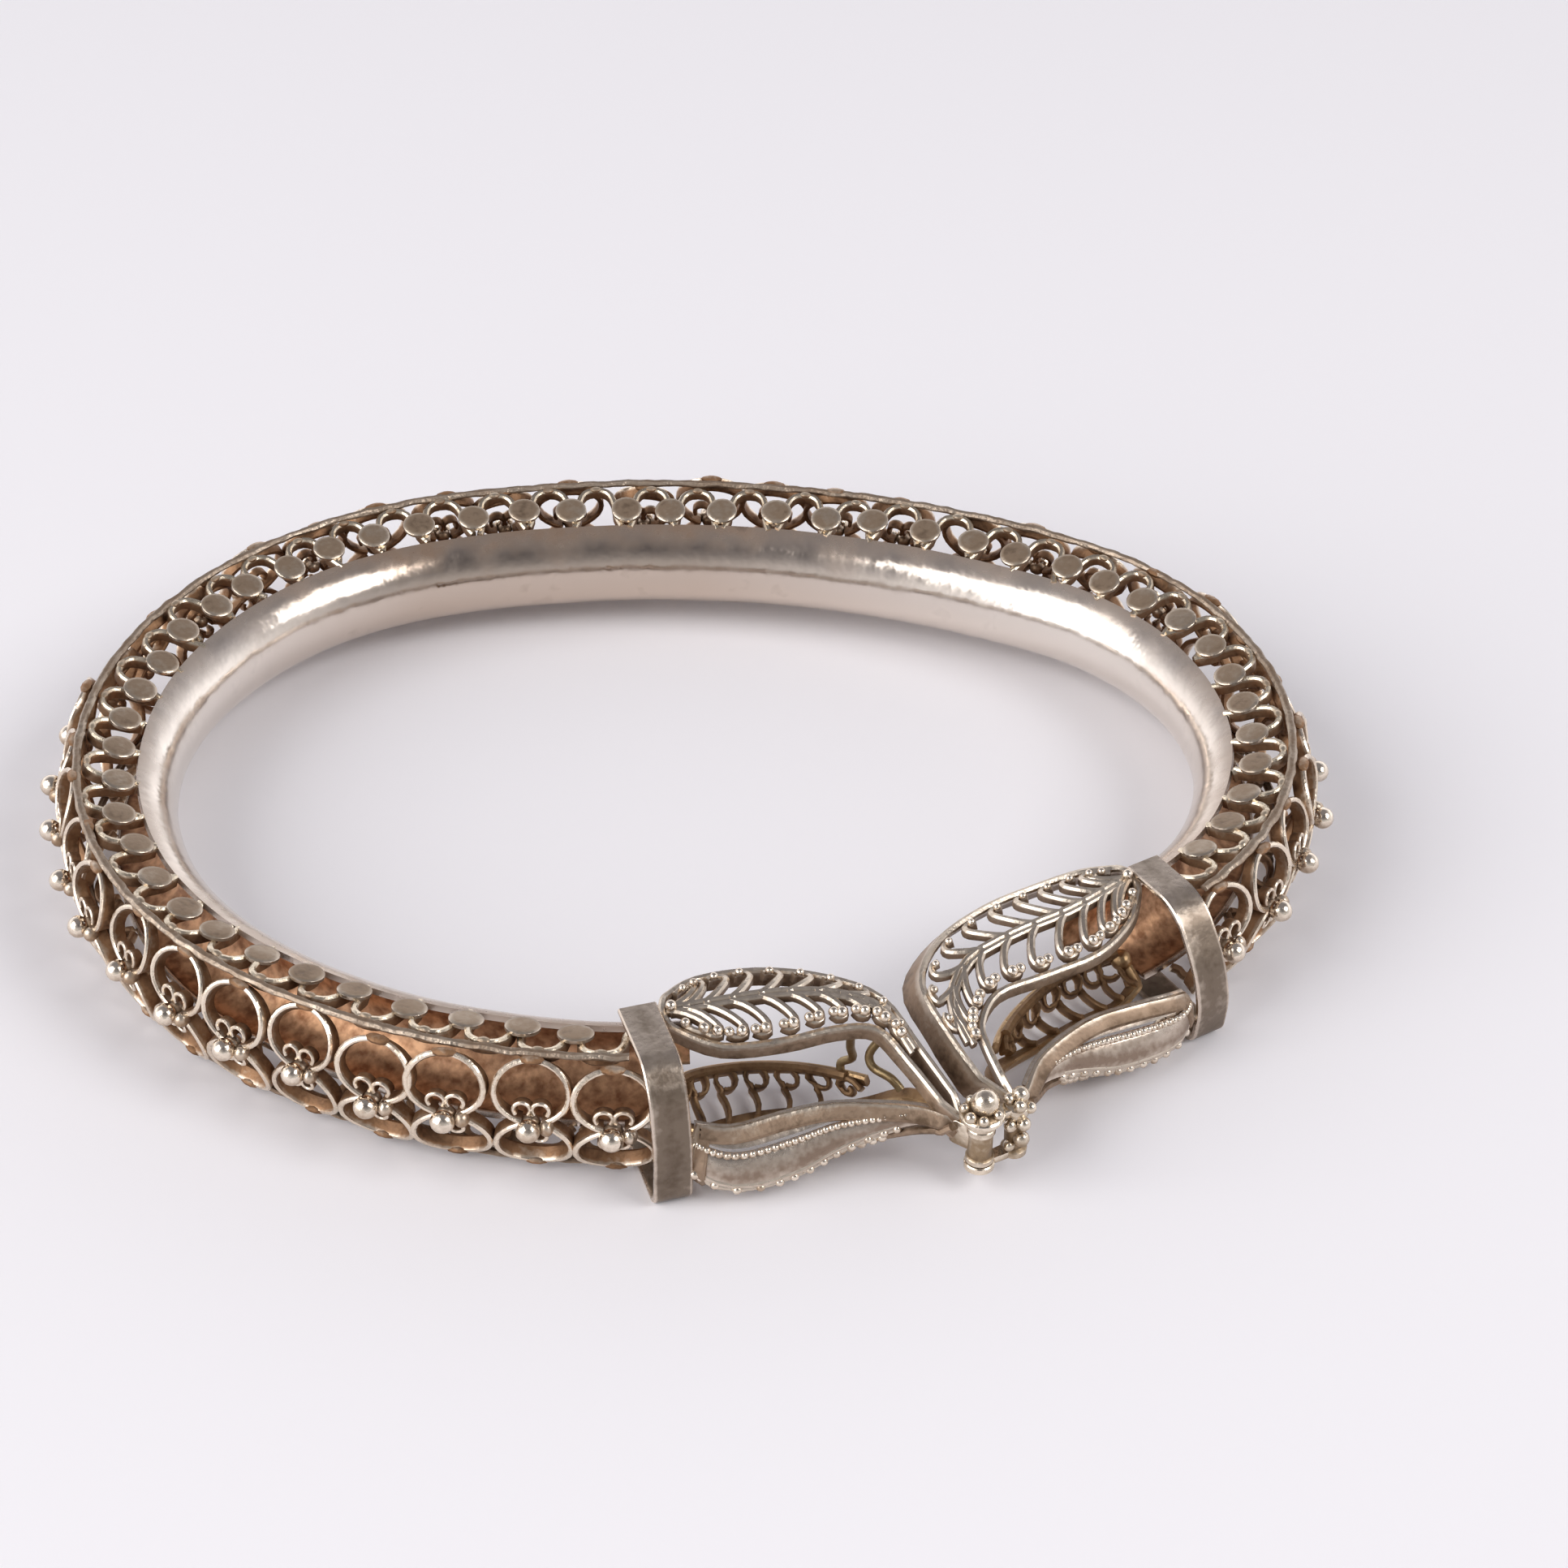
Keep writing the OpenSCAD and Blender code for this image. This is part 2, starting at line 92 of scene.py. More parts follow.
class Metal(Enum):
    """The finishes of the ring's pieces."""

    WALL = Finish("wall_silver", (0.612, 0.51, 0.43), (0.399, 0.283, 0.207), (0.158, 0.102, 0.07),
                  0.05, 0.16, 0.30, 260, 800, 0.00004)
    LOOP = Finish("loop_wire", (0.836, 0.72, 0.587), (0.304, 0.166, 0.084), (0.137, 0.068, 0.032),
                  -0.06, 0.24, 0.50, 420, 3000, 0.00004)
    RAIL = Finish("rail_wire", (0.469, 0.39, 0.313), (0.252, 0.175, 0.119), (0.116, 0.078, 0.051),
                  -0.05, 0.34, 0.55, 500, 2600, 0.00010)
    DISC = Finish("flat_discs", (0.571, 0.49, 0.401), (0.315, 0.229, 0.158), (0.147, 0.098, 0.062),
                  -0.05, 0.28, 0.46, 350, 2400, 0.00004)
    GALLERY = Finish("gallery_wire", (0.734, 0.63, 0.489), (0.284, 0.166, 0.092), (0.126, 0.068, 0.035),
                     -0.04, 0.26, 0.50, 420, 2800, 0.00004)
    GRANULE = Finish("granules", (0.856, 0.75, 0.626), (0.367, 0.249, 0.158), (0.147, 0.088, 0.053),
                     0.04, 0.18, 0.42, 500, 2600, 0.00004)
    COLLAR = Finish("collar_strip", (0.66, 0.56, 0.47), (0.19, 0.145, 0.108), (0.105, 0.073, 0.048),
                    0.0, 0.24, 0.38, 240, 2000, 0.00003)
    STRIP = Finish("leaf_strips", (0.76, 0.66, 0.56), (0.27, 0.195, 0.145), (0.13, 0.085, 0.055),
                   -0.07, 0.20, 0.38, 260, 2200, 0.00003)
    LEAF = Finish("leaf_wire", (0.66, 0.57, 0.47), (0.32, 0.225, 0.155), (0.137, 0.087, 0.052),
                  -0.04, 0.30, 0.48, 380, 2600, 0.00004)
    BROWN = Finish("brown_leaf_wire", (0.588, 0.4, 0.22), (0.294, 0.175, 0.088), (0.126, 0.07, 0.035),
                   0.0, 0.32, 0.52, 420, 2600, 0.00005)
    BRACE = Finish("brace_wire", (0.489, 0.379, 0.216), (0.252, 0.166, 0.075), (0.105, 0.068, 0.032),
                   0.00, 0.28, 0.45, 500, 2600, 0.00004)
    CLASP = Finish("clasp_silver", (0.836, 0.73, 0.597), (0.30, 0.21, 0.125), (0.12, 0.075, 0.042),
                   -0.10, 0.18, 0.42, 500, 2600, 0.00004)


class Graph:
    """Short calls that build a node tree."""

    def __init__(self, tree: Tree) -> None:
        """Takes the tree to build in."""
        self.tree = tree

    def socket(self, name: str, way: str, kind: str, value: object = None) -> None:
        """Adds a named socket to a node group.

        Args:
            name: its name.
            way: INPUT or OUTPUT.
            kind: its type, as in NodeSocketFloat.
            value: its default, if it has one.
        """
        made = self.tree.interface.new_socket(name, in_out=way, socket_type=f"NodeSocket{kind}")
        if value is not None:
            made.default_value = value

    def add(self, kind: str, inputs: dict | None = None, **settings: object) -> Node:
        """Adds a node.

        Args:
            kind: its type.
            inputs: what goes into its inputs, by name or number.
            settings: its own settings, such as its operation.

        Returns:
            The node.
        """
        node = self.tree.nodes.new(kind)
        for key, value in settings.items():
            setattr(node, key, value)
        self.feed(node, inputs or {})
        return node

    def feed(self, node: Node, inputs: dict) -> None:
        """Gives a node its inputs.

        Args:
            node: the node.
            inputs: a socket to link or a value to set, by the input's name or number.
        """
        for key, value in inputs.items():
            if isinstance(value, Socket):
                self.tree.links.new(value, node.inputs[key])
            else:
                node.inputs[key].default_value = value

    def out(self, kind: str, inputs: dict, output: int | str = 0, **settings: object) -> Socket:
        """Adds a node, as add does, and returns one of its outputs."""
        return self.add(kind, inputs, **settings).outputs[output]

    def math(self, operation: str, *values: object) -> Socket:
        """A sum on numbers."""
        return self.out("ShaderNodeMath", dict(enumerate(values)), operation=operation)

    def vector(self, operation: str, *values: object) -> Socket:
        """A sum on vectors."""
        return self.out("ShaderNodeVectorMath", dict(enumerate(values)), operation=operation)

    def scaled(self, vector: Socket, by: Socket) -> Socket:
        """A vector times a number."""
        return self.out("ShaderNodeVectorMath", {0: vector, "Scale": by}, operation="SCALE")

    def spread(self, source: Socket, span: Plan, to: Plan = (0.0, 1.0)) -> Socket:
        """A span of values mapped to another and clamped."""
        ends = dict(zip(("From Min", "From Max", "To Min", "To Max"), (*span, *to)))
        return self.out("ShaderNodeMapRange", {"Value": source, **ends})

    def blend(self, share: object, first: object, second: object, way: str = "MIX") -> Socket:
        """A colour turning into a second one."""
        return self.out("ShaderNodeMix", {0: share, 6: first, 7: second}, 2, data_type="RGBA", blend_type=way)

    def noise(self, place: Socket, scale: object, detail: float, seed: Socket | None = None) -> dict:
        """Adds noise.

        Args:
            place: the coordinates.
            scale: its scale.
            detail: its detail.
            seed: its fourth dimension, where it has one.

        Returns:
            The node's outputs.
        """
        inputs = {"Vector": place, "Scale": scale, "Detail": detail}
        if seed is None:
            return self.add("ShaderNodeTexNoise", inputs).outputs
        node = self.add("ShaderNodeTexNoise", noise_dimensions="4D")
        self.feed(node, {**inputs, "W": seed})
        return node.outputs

    def mask(self, name: str, output: str = "Fac") -> Socket:
        """A mask of the mesh."""
        return self.out("ShaderNodeAttribute", {}, output, attribute_name=name)


NOISE_SPAN = (0.3, 0.7)
PATCH_WEAR = (-0.22, 0.22)
SPECK_WEAR = (-0.10, 0.10)
SPECK_ROUGHNESS = (-0.05, 0.07)
DULL_METALLIC = (0.62, 1.0)
DULL_TO_POLISHED = (0.30, 0.85)
CLEAN_TO_SOOTY = (0.22, -0.08)
COPPER_STOPS = ((0.34, (0.26, 0.122, 0.062, 1)), (0.64, (0.66, 0.385, 0.222, 1)))
COPPER_GRAIN = 1300
COPPER_ROUGHNESS = 0.12
# Towards both ends the wall's wrist side turns brighter silver: partly polish, partly painted highlight.
HIGHLIGHT_AND_POLISH_ENDS = (((-0.008, -0.032), (0.0, 1.0)), ((0.012, 0.034), (0.0, 0.75)))
HIGHLIGHT_AND_POLISH_SILVER = (0.92, 0.87, 0.81, 1)


def tarnish_group() -> Tree:
    """Shader group that turns a wear mask into colour and roughness, with patches and specks.

    Returns:
        The group, with outputs Color, Roughness, Metallic and Height.
    """
    graph = Graph(bpy.data.node_groups.new("tarnish", "ShaderNodeTree"))
    for name, value in Metal.WALL.value.inputs().items():
        graph.socket(name, "INPUT", "Color" if isinstance(value, tuple) else "Float", value)
    for name, way, kind in (("Wear", "INPUT", "Float"), ("Place", "INPUT", "Vector"), ("Color", "OUTPUT", "Color"),
                            ("Roughness", "OUTPUT", "Float"), ("Metallic", "OUTPUT", "Float"),
                            ("Height", "OUTPUT", "Float")):
        graph.socket(name, way, kind)
    given = graph.add("NodeGroupInput").outputs
    patch = graph.noise(given["Place"], given["Patch Scale"], 3.0)["Fac"]
    speck = graph.noise(given["Place"], given["Speck Scale"], 2.0)["Fac"]
    uneven = graph.math("ADD", graph.spread(patch, NOISE_SPAN, PATCH_WEAR),
                        graph.spread(speck, NOISE_SPAN, SPECK_WEAR))
    wear = graph.math("ADD", graph.math("ADD", given["Wear"], given["Wear Bias"]), uneven)
    polished, sooty = graph.spread(wear, DULL_TO_POLISHED), graph.spread(wear, CLEAN_TO_SOOTY)
    metal = graph.blend(polished, given["Tarnish"], given["Worn"])
    rough = graph.out("ShaderNodeMix", {0: polished, 2: given["Rough Dull"], 3: given["Rough Worn"]})
    graph.add("NodeGroupOutput", {
        "Color": graph.blend(sooty, metal, given["Soot"]),
        "Roughness": graph.math("ADD", rough, graph.spread(speck, NOISE_SPAN, SPECK_ROUGHNESS)),
        "Metallic": graph.spread(polished, (0.0, 1.0), DULL_METALLIC),
        "Height": graph.math("ADD", speck, patch)})
    return graph.tree


class Paintbox:
    """Makes each finish's material once."""

    def __init__(self) -> None:
        """Builds the shared shader group."""
        self.tarnish = tarnish_group()
        self.made: dict[str, bpy.types.Material] = {}

    def metal(self, kind: Metal) -> bpy.types.Material:
        """The material of a finish.

        Args:
            kind: which finish.

        Returns:
            Its material, made on first use.
        """
        finish = kind.value
        if finish.name in self.made:
            return self.made[finish.name]
        material, graph, shader = self.blank(finish.name)
        place, wear = graph.out("ShaderNodeTexCoord", {}, "Object"), graph.mask("wear")
        look = graph.add("ShaderNodeGroup", finish.inputs(), node_tree=self.tarnish)
        graph.feed(look, {"Wear": wear, "Place": place})
        colour, rough = look.outputs["Color"], look.outputs["Roughness"]
        if kind is Metal.WALL:
            colour, rough = self.copper(graph, place, wear, colour, rough)
        bump = graph.out("ShaderNodeBump", {
            "Strength": 1.0, "Distance": finish.bump_height, "Height": look.outputs["Height"]})
        graph.feed(shader, {"Base Color": colour, "Roughness": rough, "Normal": bump,
                            "Metallic": look.outputs["Metallic"]})
        self.made[finish.name] = material
        return material

    @staticmethod
    def blank(name: str) -> tuple[bpy.types.Material, Graph, Node]:
        """A material with only its shader.

        Args:
            name: the material's name.

        Returns:
            The material, its graph and its Principled shader.
        """
        material = bpy.data.materials.new(name)
        material.use_nodes = True
        material.node_tree.nodes.clear()
        graph = Graph(material.node_tree)
        shader = graph.add("ShaderNodeBsdfPrincipled")
        graph.add("ShaderNodeOutputMaterial", {"Surface": shader.outputs["BSDF"]})
        return material, graph, shader

    @staticmethod
    def copper(graph: Graph, place: Socket, wear: Socket, silver: Socket, smooth_side: Socket) -> tuple:
        """Makes the wall's hollow side copper-orange and rough, with painted shade and light from the hollow mark,
        and turns the wrist side brighter silver towards its ends: partly polish, partly painted highlight.

        Args:
            graph: the material's graph.
            place: the coordinates.
            wear: the wear mask.
            silver: the colour of the wrist side.
            smooth_side: its roughness.

        Returns:
            The colour and the roughness of both sides.
        """
        ramp = graph.add("ShaderNodeValToRGB", {"Fac": graph.noise(place, COPPER_GRAIN, 5)["Fac"]})
        for stop, (position, colour) in zip(ramp.color_ramp.elements, COPPER_STOPS):
            stop.position, stop.color = position, colour
        # Painted shade and painted light: the hollow mark scales the copper's colour.
        copper = graph.blend(1.0, ramp.outputs["Color"], graph.mask("hollow", "Color"), "MULTIPLY")
        inside = graph.math("GREATER_THAN", graph.mask("hollow"), 0.3)
        x = graph.out("ShaderNodeSeparateXYZ", {0: place}, "X")
        # Partly polish, partly painted highlight: brighter silver towards both ends, less where the wear is low.
        ends = graph.math("ADD", *(graph.spread(x, span, to) for span, to in HIGHLIGHT_AND_POLISH_ENDS))
        polished = graph.blend(graph.math("MULTIPLY", ends, wear), silver, HIGHLIGHT_AND_POLISH_SILVER)
        rough = graph.math("MULTIPLY_ADD", inside, COPPER_ROUGHNESS, smooth_side)
        return graph.blend(inside, polished, copper), rough


# ---------------------------------------------------------------- shapes


def unit(v: Array) -> Array:
    """The vector, or each row of vectors, at length 1."""
    return v / np.linalg.norm(v, axis=-1, keepdims=True)


def between(p: Array, s: float) -> Array:
    """Reads a smooth curve through rows.

    Args:
        p: the rows.
        s: a row number, also between two rows.

    Returns:
        The place there.
    """
    i = min(int(s), len(p) - 2)
    f = s - i
    a, b, c, d = p[max(i - 1, 0)], p[i], p[i + 1], p[min(i + 2, len(p) - 1)]
    return 0.5 * (2 * b + (c - a) * f + (2 * a - 5 * b + 4 * c - d) * f**2 + (3 * b - a - 3 * c + d) * f**3)


def smooth(points: list, steps: int = 2) -> Array:
    """A smooth curve through points, with a number of steps between each two."""
    p = np.asarray(points, float)
    return np.array([between(p, k / steps) for k in range((len(p) - 1) * steps + 1)])


def tangents(p: Array) -> Array:
    """Direction of a line at each of its points."""
    return unit(np.gradient(p, axis=0))


def put(name: str, data: bpy.types.ID) -> Object:
    """Puts a new object in the scene.

    Args:
        name: its name.
        data: its mesh, light or camera.

    Returns:
        The object.
    """
    made = bpy.data.objects.new(name, data)
    bpy.context.scene.collection.objects.link(made)
    return made


def shade(data: bpy.types.Mesh) -> None:
    """Shades a mesh smooth, apart from its sharp edges."""
    data.shade_smooth()
    data.set_sharp_from_angle(angle=SHARP)


class Metalwork:
    """Collects closed shells of ribbon, wire and ball into one mesh, with a wear mask on each point."""

    def __init__(self) -> None:
        """Starts empty."""
        self.points: list[Array] = []
        self.wear: list[Array] = []
        self.faces: list[tuple[int, ...]] = []
        self.count = 0

    def add(self, points: Array, wear: Array, faces: list) -> None:
        """Adds one shell.

        Args:
            points: its points.
            wear: the wear at each.
            faces: its faces, as numbers of its own points.
        """
        self.faces += [tuple(i + self.count for i in f) for f in faces]
        self.points.append(points)
        self.wear.append(wear)
        self.count += len(points)

    def join(self, other: "Metalwork") -> None:
        """Adds another work's shells."""
        self.add(np.concatenate(other.points), np.concatenate(other.wear), other.faces)

    def loft(self, rings: Array, wear: Array, closed: bool = False) -> None:
        """Joins rings of points into a shell.

        Args:
            rings: rings, then points in each, then x, y, z.
            wear: the wear at each point.
            closed: whether the last ring joins the first.
        """
        n, m = rings.shape[:2]
        faces = [(i * m + k, i * m + (k + 1) % m, (i + 1) % n * m + (k + 1) % m, (i + 1) % n * m + k)
                 for i in range(n if closed else n - 1) for k in range(m)]
        if not closed:
            faces += [tuple(range(m - 1, -1, -1)), tuple((n - 1) * m + k for k in range(m))]
        self.add(rings.reshape(-1, 3), np.broadcast_to(wear, (n, m)).reshape(-1), faces)

    def ribbon(self, line: Array, inward: Array, thick: float, deep: float | Array,
               dull: float = 0.0, taper: float = 1.0) -> None:
        """Adds flat wire on edge: its outer edge follows the line and is worn bright.

        Args:
            line: points along the middle of the outer edge.
            inward: direction of the wire's depth, one or at each point.
            thick: thickness.
            deep: depth, one or at each point.
            dull: how much less worn than usual it is.
            taper: thickness at the end, as a share of that at the start.
        """
        t = tangents(line)
        d = np.broadcast_to(inward, line.shape)
        d = unit(d - t * np.sum(d * t, -1, keepdims=True))
        s = np.cross(t, d)
        h = (thick / 2 * np.linspace(1, taper, len(line)))[:, None]
        deep = np.broadcast_to(deep, len(line))[:, None]
        c = np.minimum(h * 0.55, deep * 0.3)
        section = [(-h + c, 0 * h), (h - c, 0 * h), (h, c), (h, deep * 0.35), (h, deep - c), (h - c, deep),
                   (-h + c, deep), (-h, deep - c), (-h, deep * 0.35), (-h, c)]
        rings = np.stack([line + s * a + d * b for a, b in section], 1)
        self.loft(rings, np.array([1, 1, 0.85, 0.30, 0.12, 0.2, 0.2, 0.12, 0.30, 0.85]) - dull)

    def wire(self, line: Array, radius: float, wear: float, sides: int = 8) -> None:
        """Adds round wire along a line.

        Args:
            line: its points.
            radius: its radius.
            wear: its wear underneath; its top is worn more.
            sides: sides of its section.
        """
        a, t, rings = np.arange(sides) / sides * TAU, tangents(line), []
        u = unit(np.cross(t[0], (0.3, 0.2, 1.0)))
        for p, run in zip(line, t):
            u = unit(u - run * np.dot(u, run))
            rings.append(p + radius * (np.cos(a)[:, None] * u + np.sin(a)[:, None] * np.cross(run, u)))
        up = unit(np.array(rings) - line[:, None])[..., 2]
        self.loft(np.array(rings), wear + TOP_WEAR * np.clip(up, -0.6, 1))

    def ball(self, centre: Point, size: float | Point, rows: int, wear: float) -> None:
        """Adds a ball or a flattened lump.

        Args:
            centre: its middle.
            size: its radius, or its three half-sizes.
            rows: rows from pole to pole.
            wear: wear underneath; its top is worn more.
        """
        cols = rows * 2
        turn = TAU * np.arange(cols) / cols
        rings = [np.stack([math.sin(a) * np.cos(turn), math.sin(a) * np.sin(turn), 0 * turn + math.cos(a)], 1)
                 for a in math.pi * np.arange(1, rows) / rows]
        p = np.concatenate([[(0.0, 0.0, 1.0)], *rings, [(0.0, 0.0, -1.0)]])
        last = len(p) - 1
        faces = [(0, 1 + k, 1 + (k + 1) % cols) for k in range(cols)]
        for a in range(1, last - cols, cols):
            faces += [(a + k, a + cols + k, a + cols + (k + 1) % cols, a + (k + 1) % cols) for k in range(cols)]
        faces += [(last - cols + k, last, last - cols + (k + 1) % cols) for k in range(cols)]
        self.add(p * size + np.asarray(centre), wear + TOP_WEAR * np.clip(p[:, 2], -0.5, 1), faces)

    def turned(self, centre: Array, rows: list, closed: bool = False, sides: int = 24,
               across: Array = np.eye(3)) -> None:
        """Adds a turned shape.

        Args:
            centre: a place on its axis.
            rows: radius, height and wear of each ring, along the axis or round the wall of a bored shape.
            closed: whether the rows close on themselves.
            sides: sides of its outline.
            across: its two directions and its axis, as three rows.
        """
        a = np.arange(sides) / sides * TAU
        ring = np.cos(a)[:, None] * across[0] + np.sin(a)[:, None] * across[1]
        rings = np.array([centre + ring * r + across[2] * z for r, z, _ in rows])
        self.loft(rings, np.array([[w] for _, _, w in rows]), closed)

    def mesh(self, name: str) -> Object:
        """Makes the mesh object, in metres.

        Args:
            name: the object's name.

        Returns:
            The object.
        """
        data = bpy.data.meshes.new(name)
        data.from_pydata((np.concatenate(self.points) * MM).tolist(), [], self.faces)
        mask = data.attributes.new("wear", "FLOAT", "POINT")
        mask.data.foreach_set("value", np.concatenate(self.wear).astype(np.float32))
        work = bmesh.new()
        work.from_mesh(data)
        bmesh.ops.recalc_face_normals(work, faces=work.faces)
        work.to_mesh(data)
        work.free()
        shade(data)
        return put(name, data)

    def mirrored(self, height: float) -> "Metalwork":
        """Mirrors the work in a level plane.

        Args:
            height: the plane's height.

        Returns:
            The mirrored work, its faces still outwards.
        """
        other = Metalwork()
        for p, wear in zip(self.points, self.wear):
            other.add(np.concatenate([p[:, :2], 2 * height - p[:, 2:]], 1), wear, [])
        other.faces = [f[::-1] for f in self.faces]
        return other


@dataclass(frozen=True)
class RailLine:
    """The rails' outline in plan: tangent arcs, anticlockwise from the right collar to the left one."""

    start: Plan = (21.78, -30.16)
    heading: float = 12.3
    arcs: tuple[Plan, ...] = ((25.8, 113.5), (68.0, 43.2), (31.2, 126.7), (45.0, 40.0))

    def length(self) -> float:
        """Length of the line."""
        return sum(r * math.radians(t) for r, t in self.arcs)

    def at(self, dist: float) -> Array:
        """Walks along the line, also past its ends.

        Args:
            dist: how far from its start.

        Returns:
            The place in plan.
        """
        p, h = np.array(self.start), math.radians(self.heading)
        for i, (r, turn) in enumerate(self.arcs):
            part = min(dist / r, math.radians(turn)) if i < len(self.arcs) - 1 else dist / r
            q = h + part
            p = p + r * np.array([math.sin(q) - math.sin(h), math.cos(h) - math.cos(q)])
            h, dist = q, dist - part * r
            if dist <= 1e-9:
                break
        return p

    def line(self, begin: float, end: float, step: float = 0.6) -> Array:
        """Points in plan between two distances."""
        return np.array([self.at(d) for d in np.linspace(begin, end, int((end - begin) / step) + 2)])


RAILS = RailLine()
LIFT = 0.5
TUBE_H = 9.5
MID_Z = LIFT + TUBE_H / 2
TOP_Z = LIFT + TUBE_H
SHIFT = np.array([3.54, -0.26, LIFT])


def line_object(name: str, points: Array, marks: dict | None = None, closed: bool = False) -> Object:
    """A mesh of edges only, for the node trees to follow.

    Args:
        name: its name.
        points: its points, in millimetres.
        marks: values at its points, by attribute name.
        closed: whether it is a loop.

    Returns:
        The object.
    """
    p = np.asarray(points, float)
    if p.shape[1] == 2:
        p = np.concatenate([p, np.zeros((len(p), 1))], 1)
    edges = [(i, i + 1) for i in range(len(p) - 1)] + ([(len(p) - 1, 0)] if closed else [])
    data = bpy.data.meshes.new(name)
    data.from_pydata((p * MM).tolist(), edges, [])
    for key, values in (marks or {}).items():
        data.attributes.new(key, "FLOAT", "POINT").data.foreach_set("value", np.array(values, np.float32))
    return put(name, data)


class PieceGraph(Graph):
    """A Geometry Nodes tree that makes a piece from its host, with a seed and a material."""

    def __init__(self, name: str, *inputs: tuple) -> None:
        """Starts the tree.

        Args:
            name: the tree's name.
            inputs: name, kind and default of each input besides the geometry, seed and material.
        """
        super().__init__(bpy.data.node_groups.new(name, "GeometryNodeTree"))
        for key, kind, value in (("Geometry", "Geometry", None), *inputs, ("Seed", "Int", 1),
                                 ("Material", "Material", None)):
            self.socket(key, "INPUT", kind, value)
        self.socket("Geometry", "OUTPUT", "Geometry")
        self.given = self.add("NodeGroupInput").outputs

    def random(self, low: Point, high: Point) -> Socket:
        """A random vector with the tree's own seed."""
        inputs = {0: low, 1: high, "Seed": self.given["Seed"]}
        return self.out("FunctionNodeRandomValue", inputs, data_type="FLOAT_VECTOR")

    def shape_of(self, name: str) -> Socket:
        """The shape of the object that an input names."""
        return self.out("GeometryNodeObjectInfo", {0: self.given[name]}, "Geometry")

    def curve(self, shape: Socket) -> Socket:
        """Edges as a curve."""
        return self.out("GeometryNodeMeshToCurve", {0: shape})

    def copies(self, points: Socket, unit_name: str, turn: Socket, size: Socket) -> Socket:
        """Copies of a unit on points."""
        inputs = {"Points": points, "Instance": self.shape_of(unit_name), "Rotation": turn, "Scale": size}
        return self.out("GeometryNodeInstanceOnPoints", inputs)

    def end(self, shape: Socket) -> Tree:
        """Ends the tree in Realize Instances and Set Material.

        Args:
            shape: what the tree has made.

        Returns:
            The tree.
        """
        real = self.out("GeometryNodeRealizeInstances", {0: shape})
        paint = self.out("GeometryNodeSetMaterial", {"Geometry": real, "Material": self.given["Material"]})
        self.add("NodeGroupOutput", {0: paint})
        return self.tree


def repeat_tree() -> Tree:
    """Builds the tree that sets copies of a unit along a line, turned with it and each a little different.

    Returns:
        The tree.
    """
    graph = PieceGraph("repeat_along_rail", ("Unit", "Object", None), ("Count", "Int", 10),
                       ("Play", "Float", 1.0))
    given = graph.given
    along = {"Curve": graph.curve(given[0]), "Count": given["Count"]}
    spots = graph.add("GeometryNodeCurveToPoints", along).outputs
    run = graph.add("ShaderNodeSeparateXYZ", {0: spots["Tangent"]}).outputs
    turn = graph.out("ShaderNodeCombineXYZ", {"Z": graph.math("ARCTAN2", run["Y"], run["X"])})
    sway = graph.random((-0.035, -0.035, -0.045), (0.035, 0.035, 0.045))
    swell = graph.random((-0.04, -0.03, -0.02), (0.03, 0.03, 0.01))
    return graph.end(graph.copies(
        spots["Points"], "Unit", graph.vector("ADD", turn, graph.scaled(sway, given["Play"])),
        graph.vector("ADD", graph.scaled(swell, given["Play"]), (1, 1, 1))))


def sweep_tree() -> Tree:
    """Builds the tree that sweeps a section along a line, a little uneven as by hand.

    Returns:
        The tree.
    """
    graph = PieceGraph("sweep_along_rail", ("Section", "Object", None), ("Unevenness", "Float", 0.00004),
                       ("Uneven Scale", "Float", 150.0))
    given = graph.given
    level = graph.out("GeometryNodeSetCurveNormal", {0: graph.curve(given[0])}, mode="Z_UP")
    solid = graph.out("GeometryNodeCurveToMesh", {
        "Curve": level, "Profile Curve": graph.curve(graph.shape_of("Section")), "Fill Caps": True})
    noise = graph.noise(graph.out("GeometryNodeInputPosition", {}), given["Uneven Scale"], 1.5, given["Seed"])
    centred = graph.vector("SUBTRACT", noise["Color"], (0.5, 0.5, 0.5))
    offset = graph.scaled(centred, given["Unevenness"])
    return graph.end(graph.out("GeometryNodeSetPosition", {"Geometry": solid, "Offset": offset}))


def grain_tree() -> Tree:
    """Builds the tree that sets a ball on each point, of the point's own radius.

    Returns:
        The tree.
    """
    graph = PieceGraph("balls_on_points", ("Ball", "Object", None))
    spots = graph.out("GeometryNodeMeshToPoints", {0: graph.given[0]})
    radius = graph.out("GeometryNodeInputNamedAttribute", {"Name": "ball_r"}, data_type="FLOAT")
    squash = graph.random((0.9, 0.9, 0.86), (1.0, 1.0, 1.0))
    turn = graph.random((0, 0, 0), (0.5, 0.5, TAU))
    return graph.end(graph.copies(spots, "Ball", turn, graph.scaled(squash, radius)))


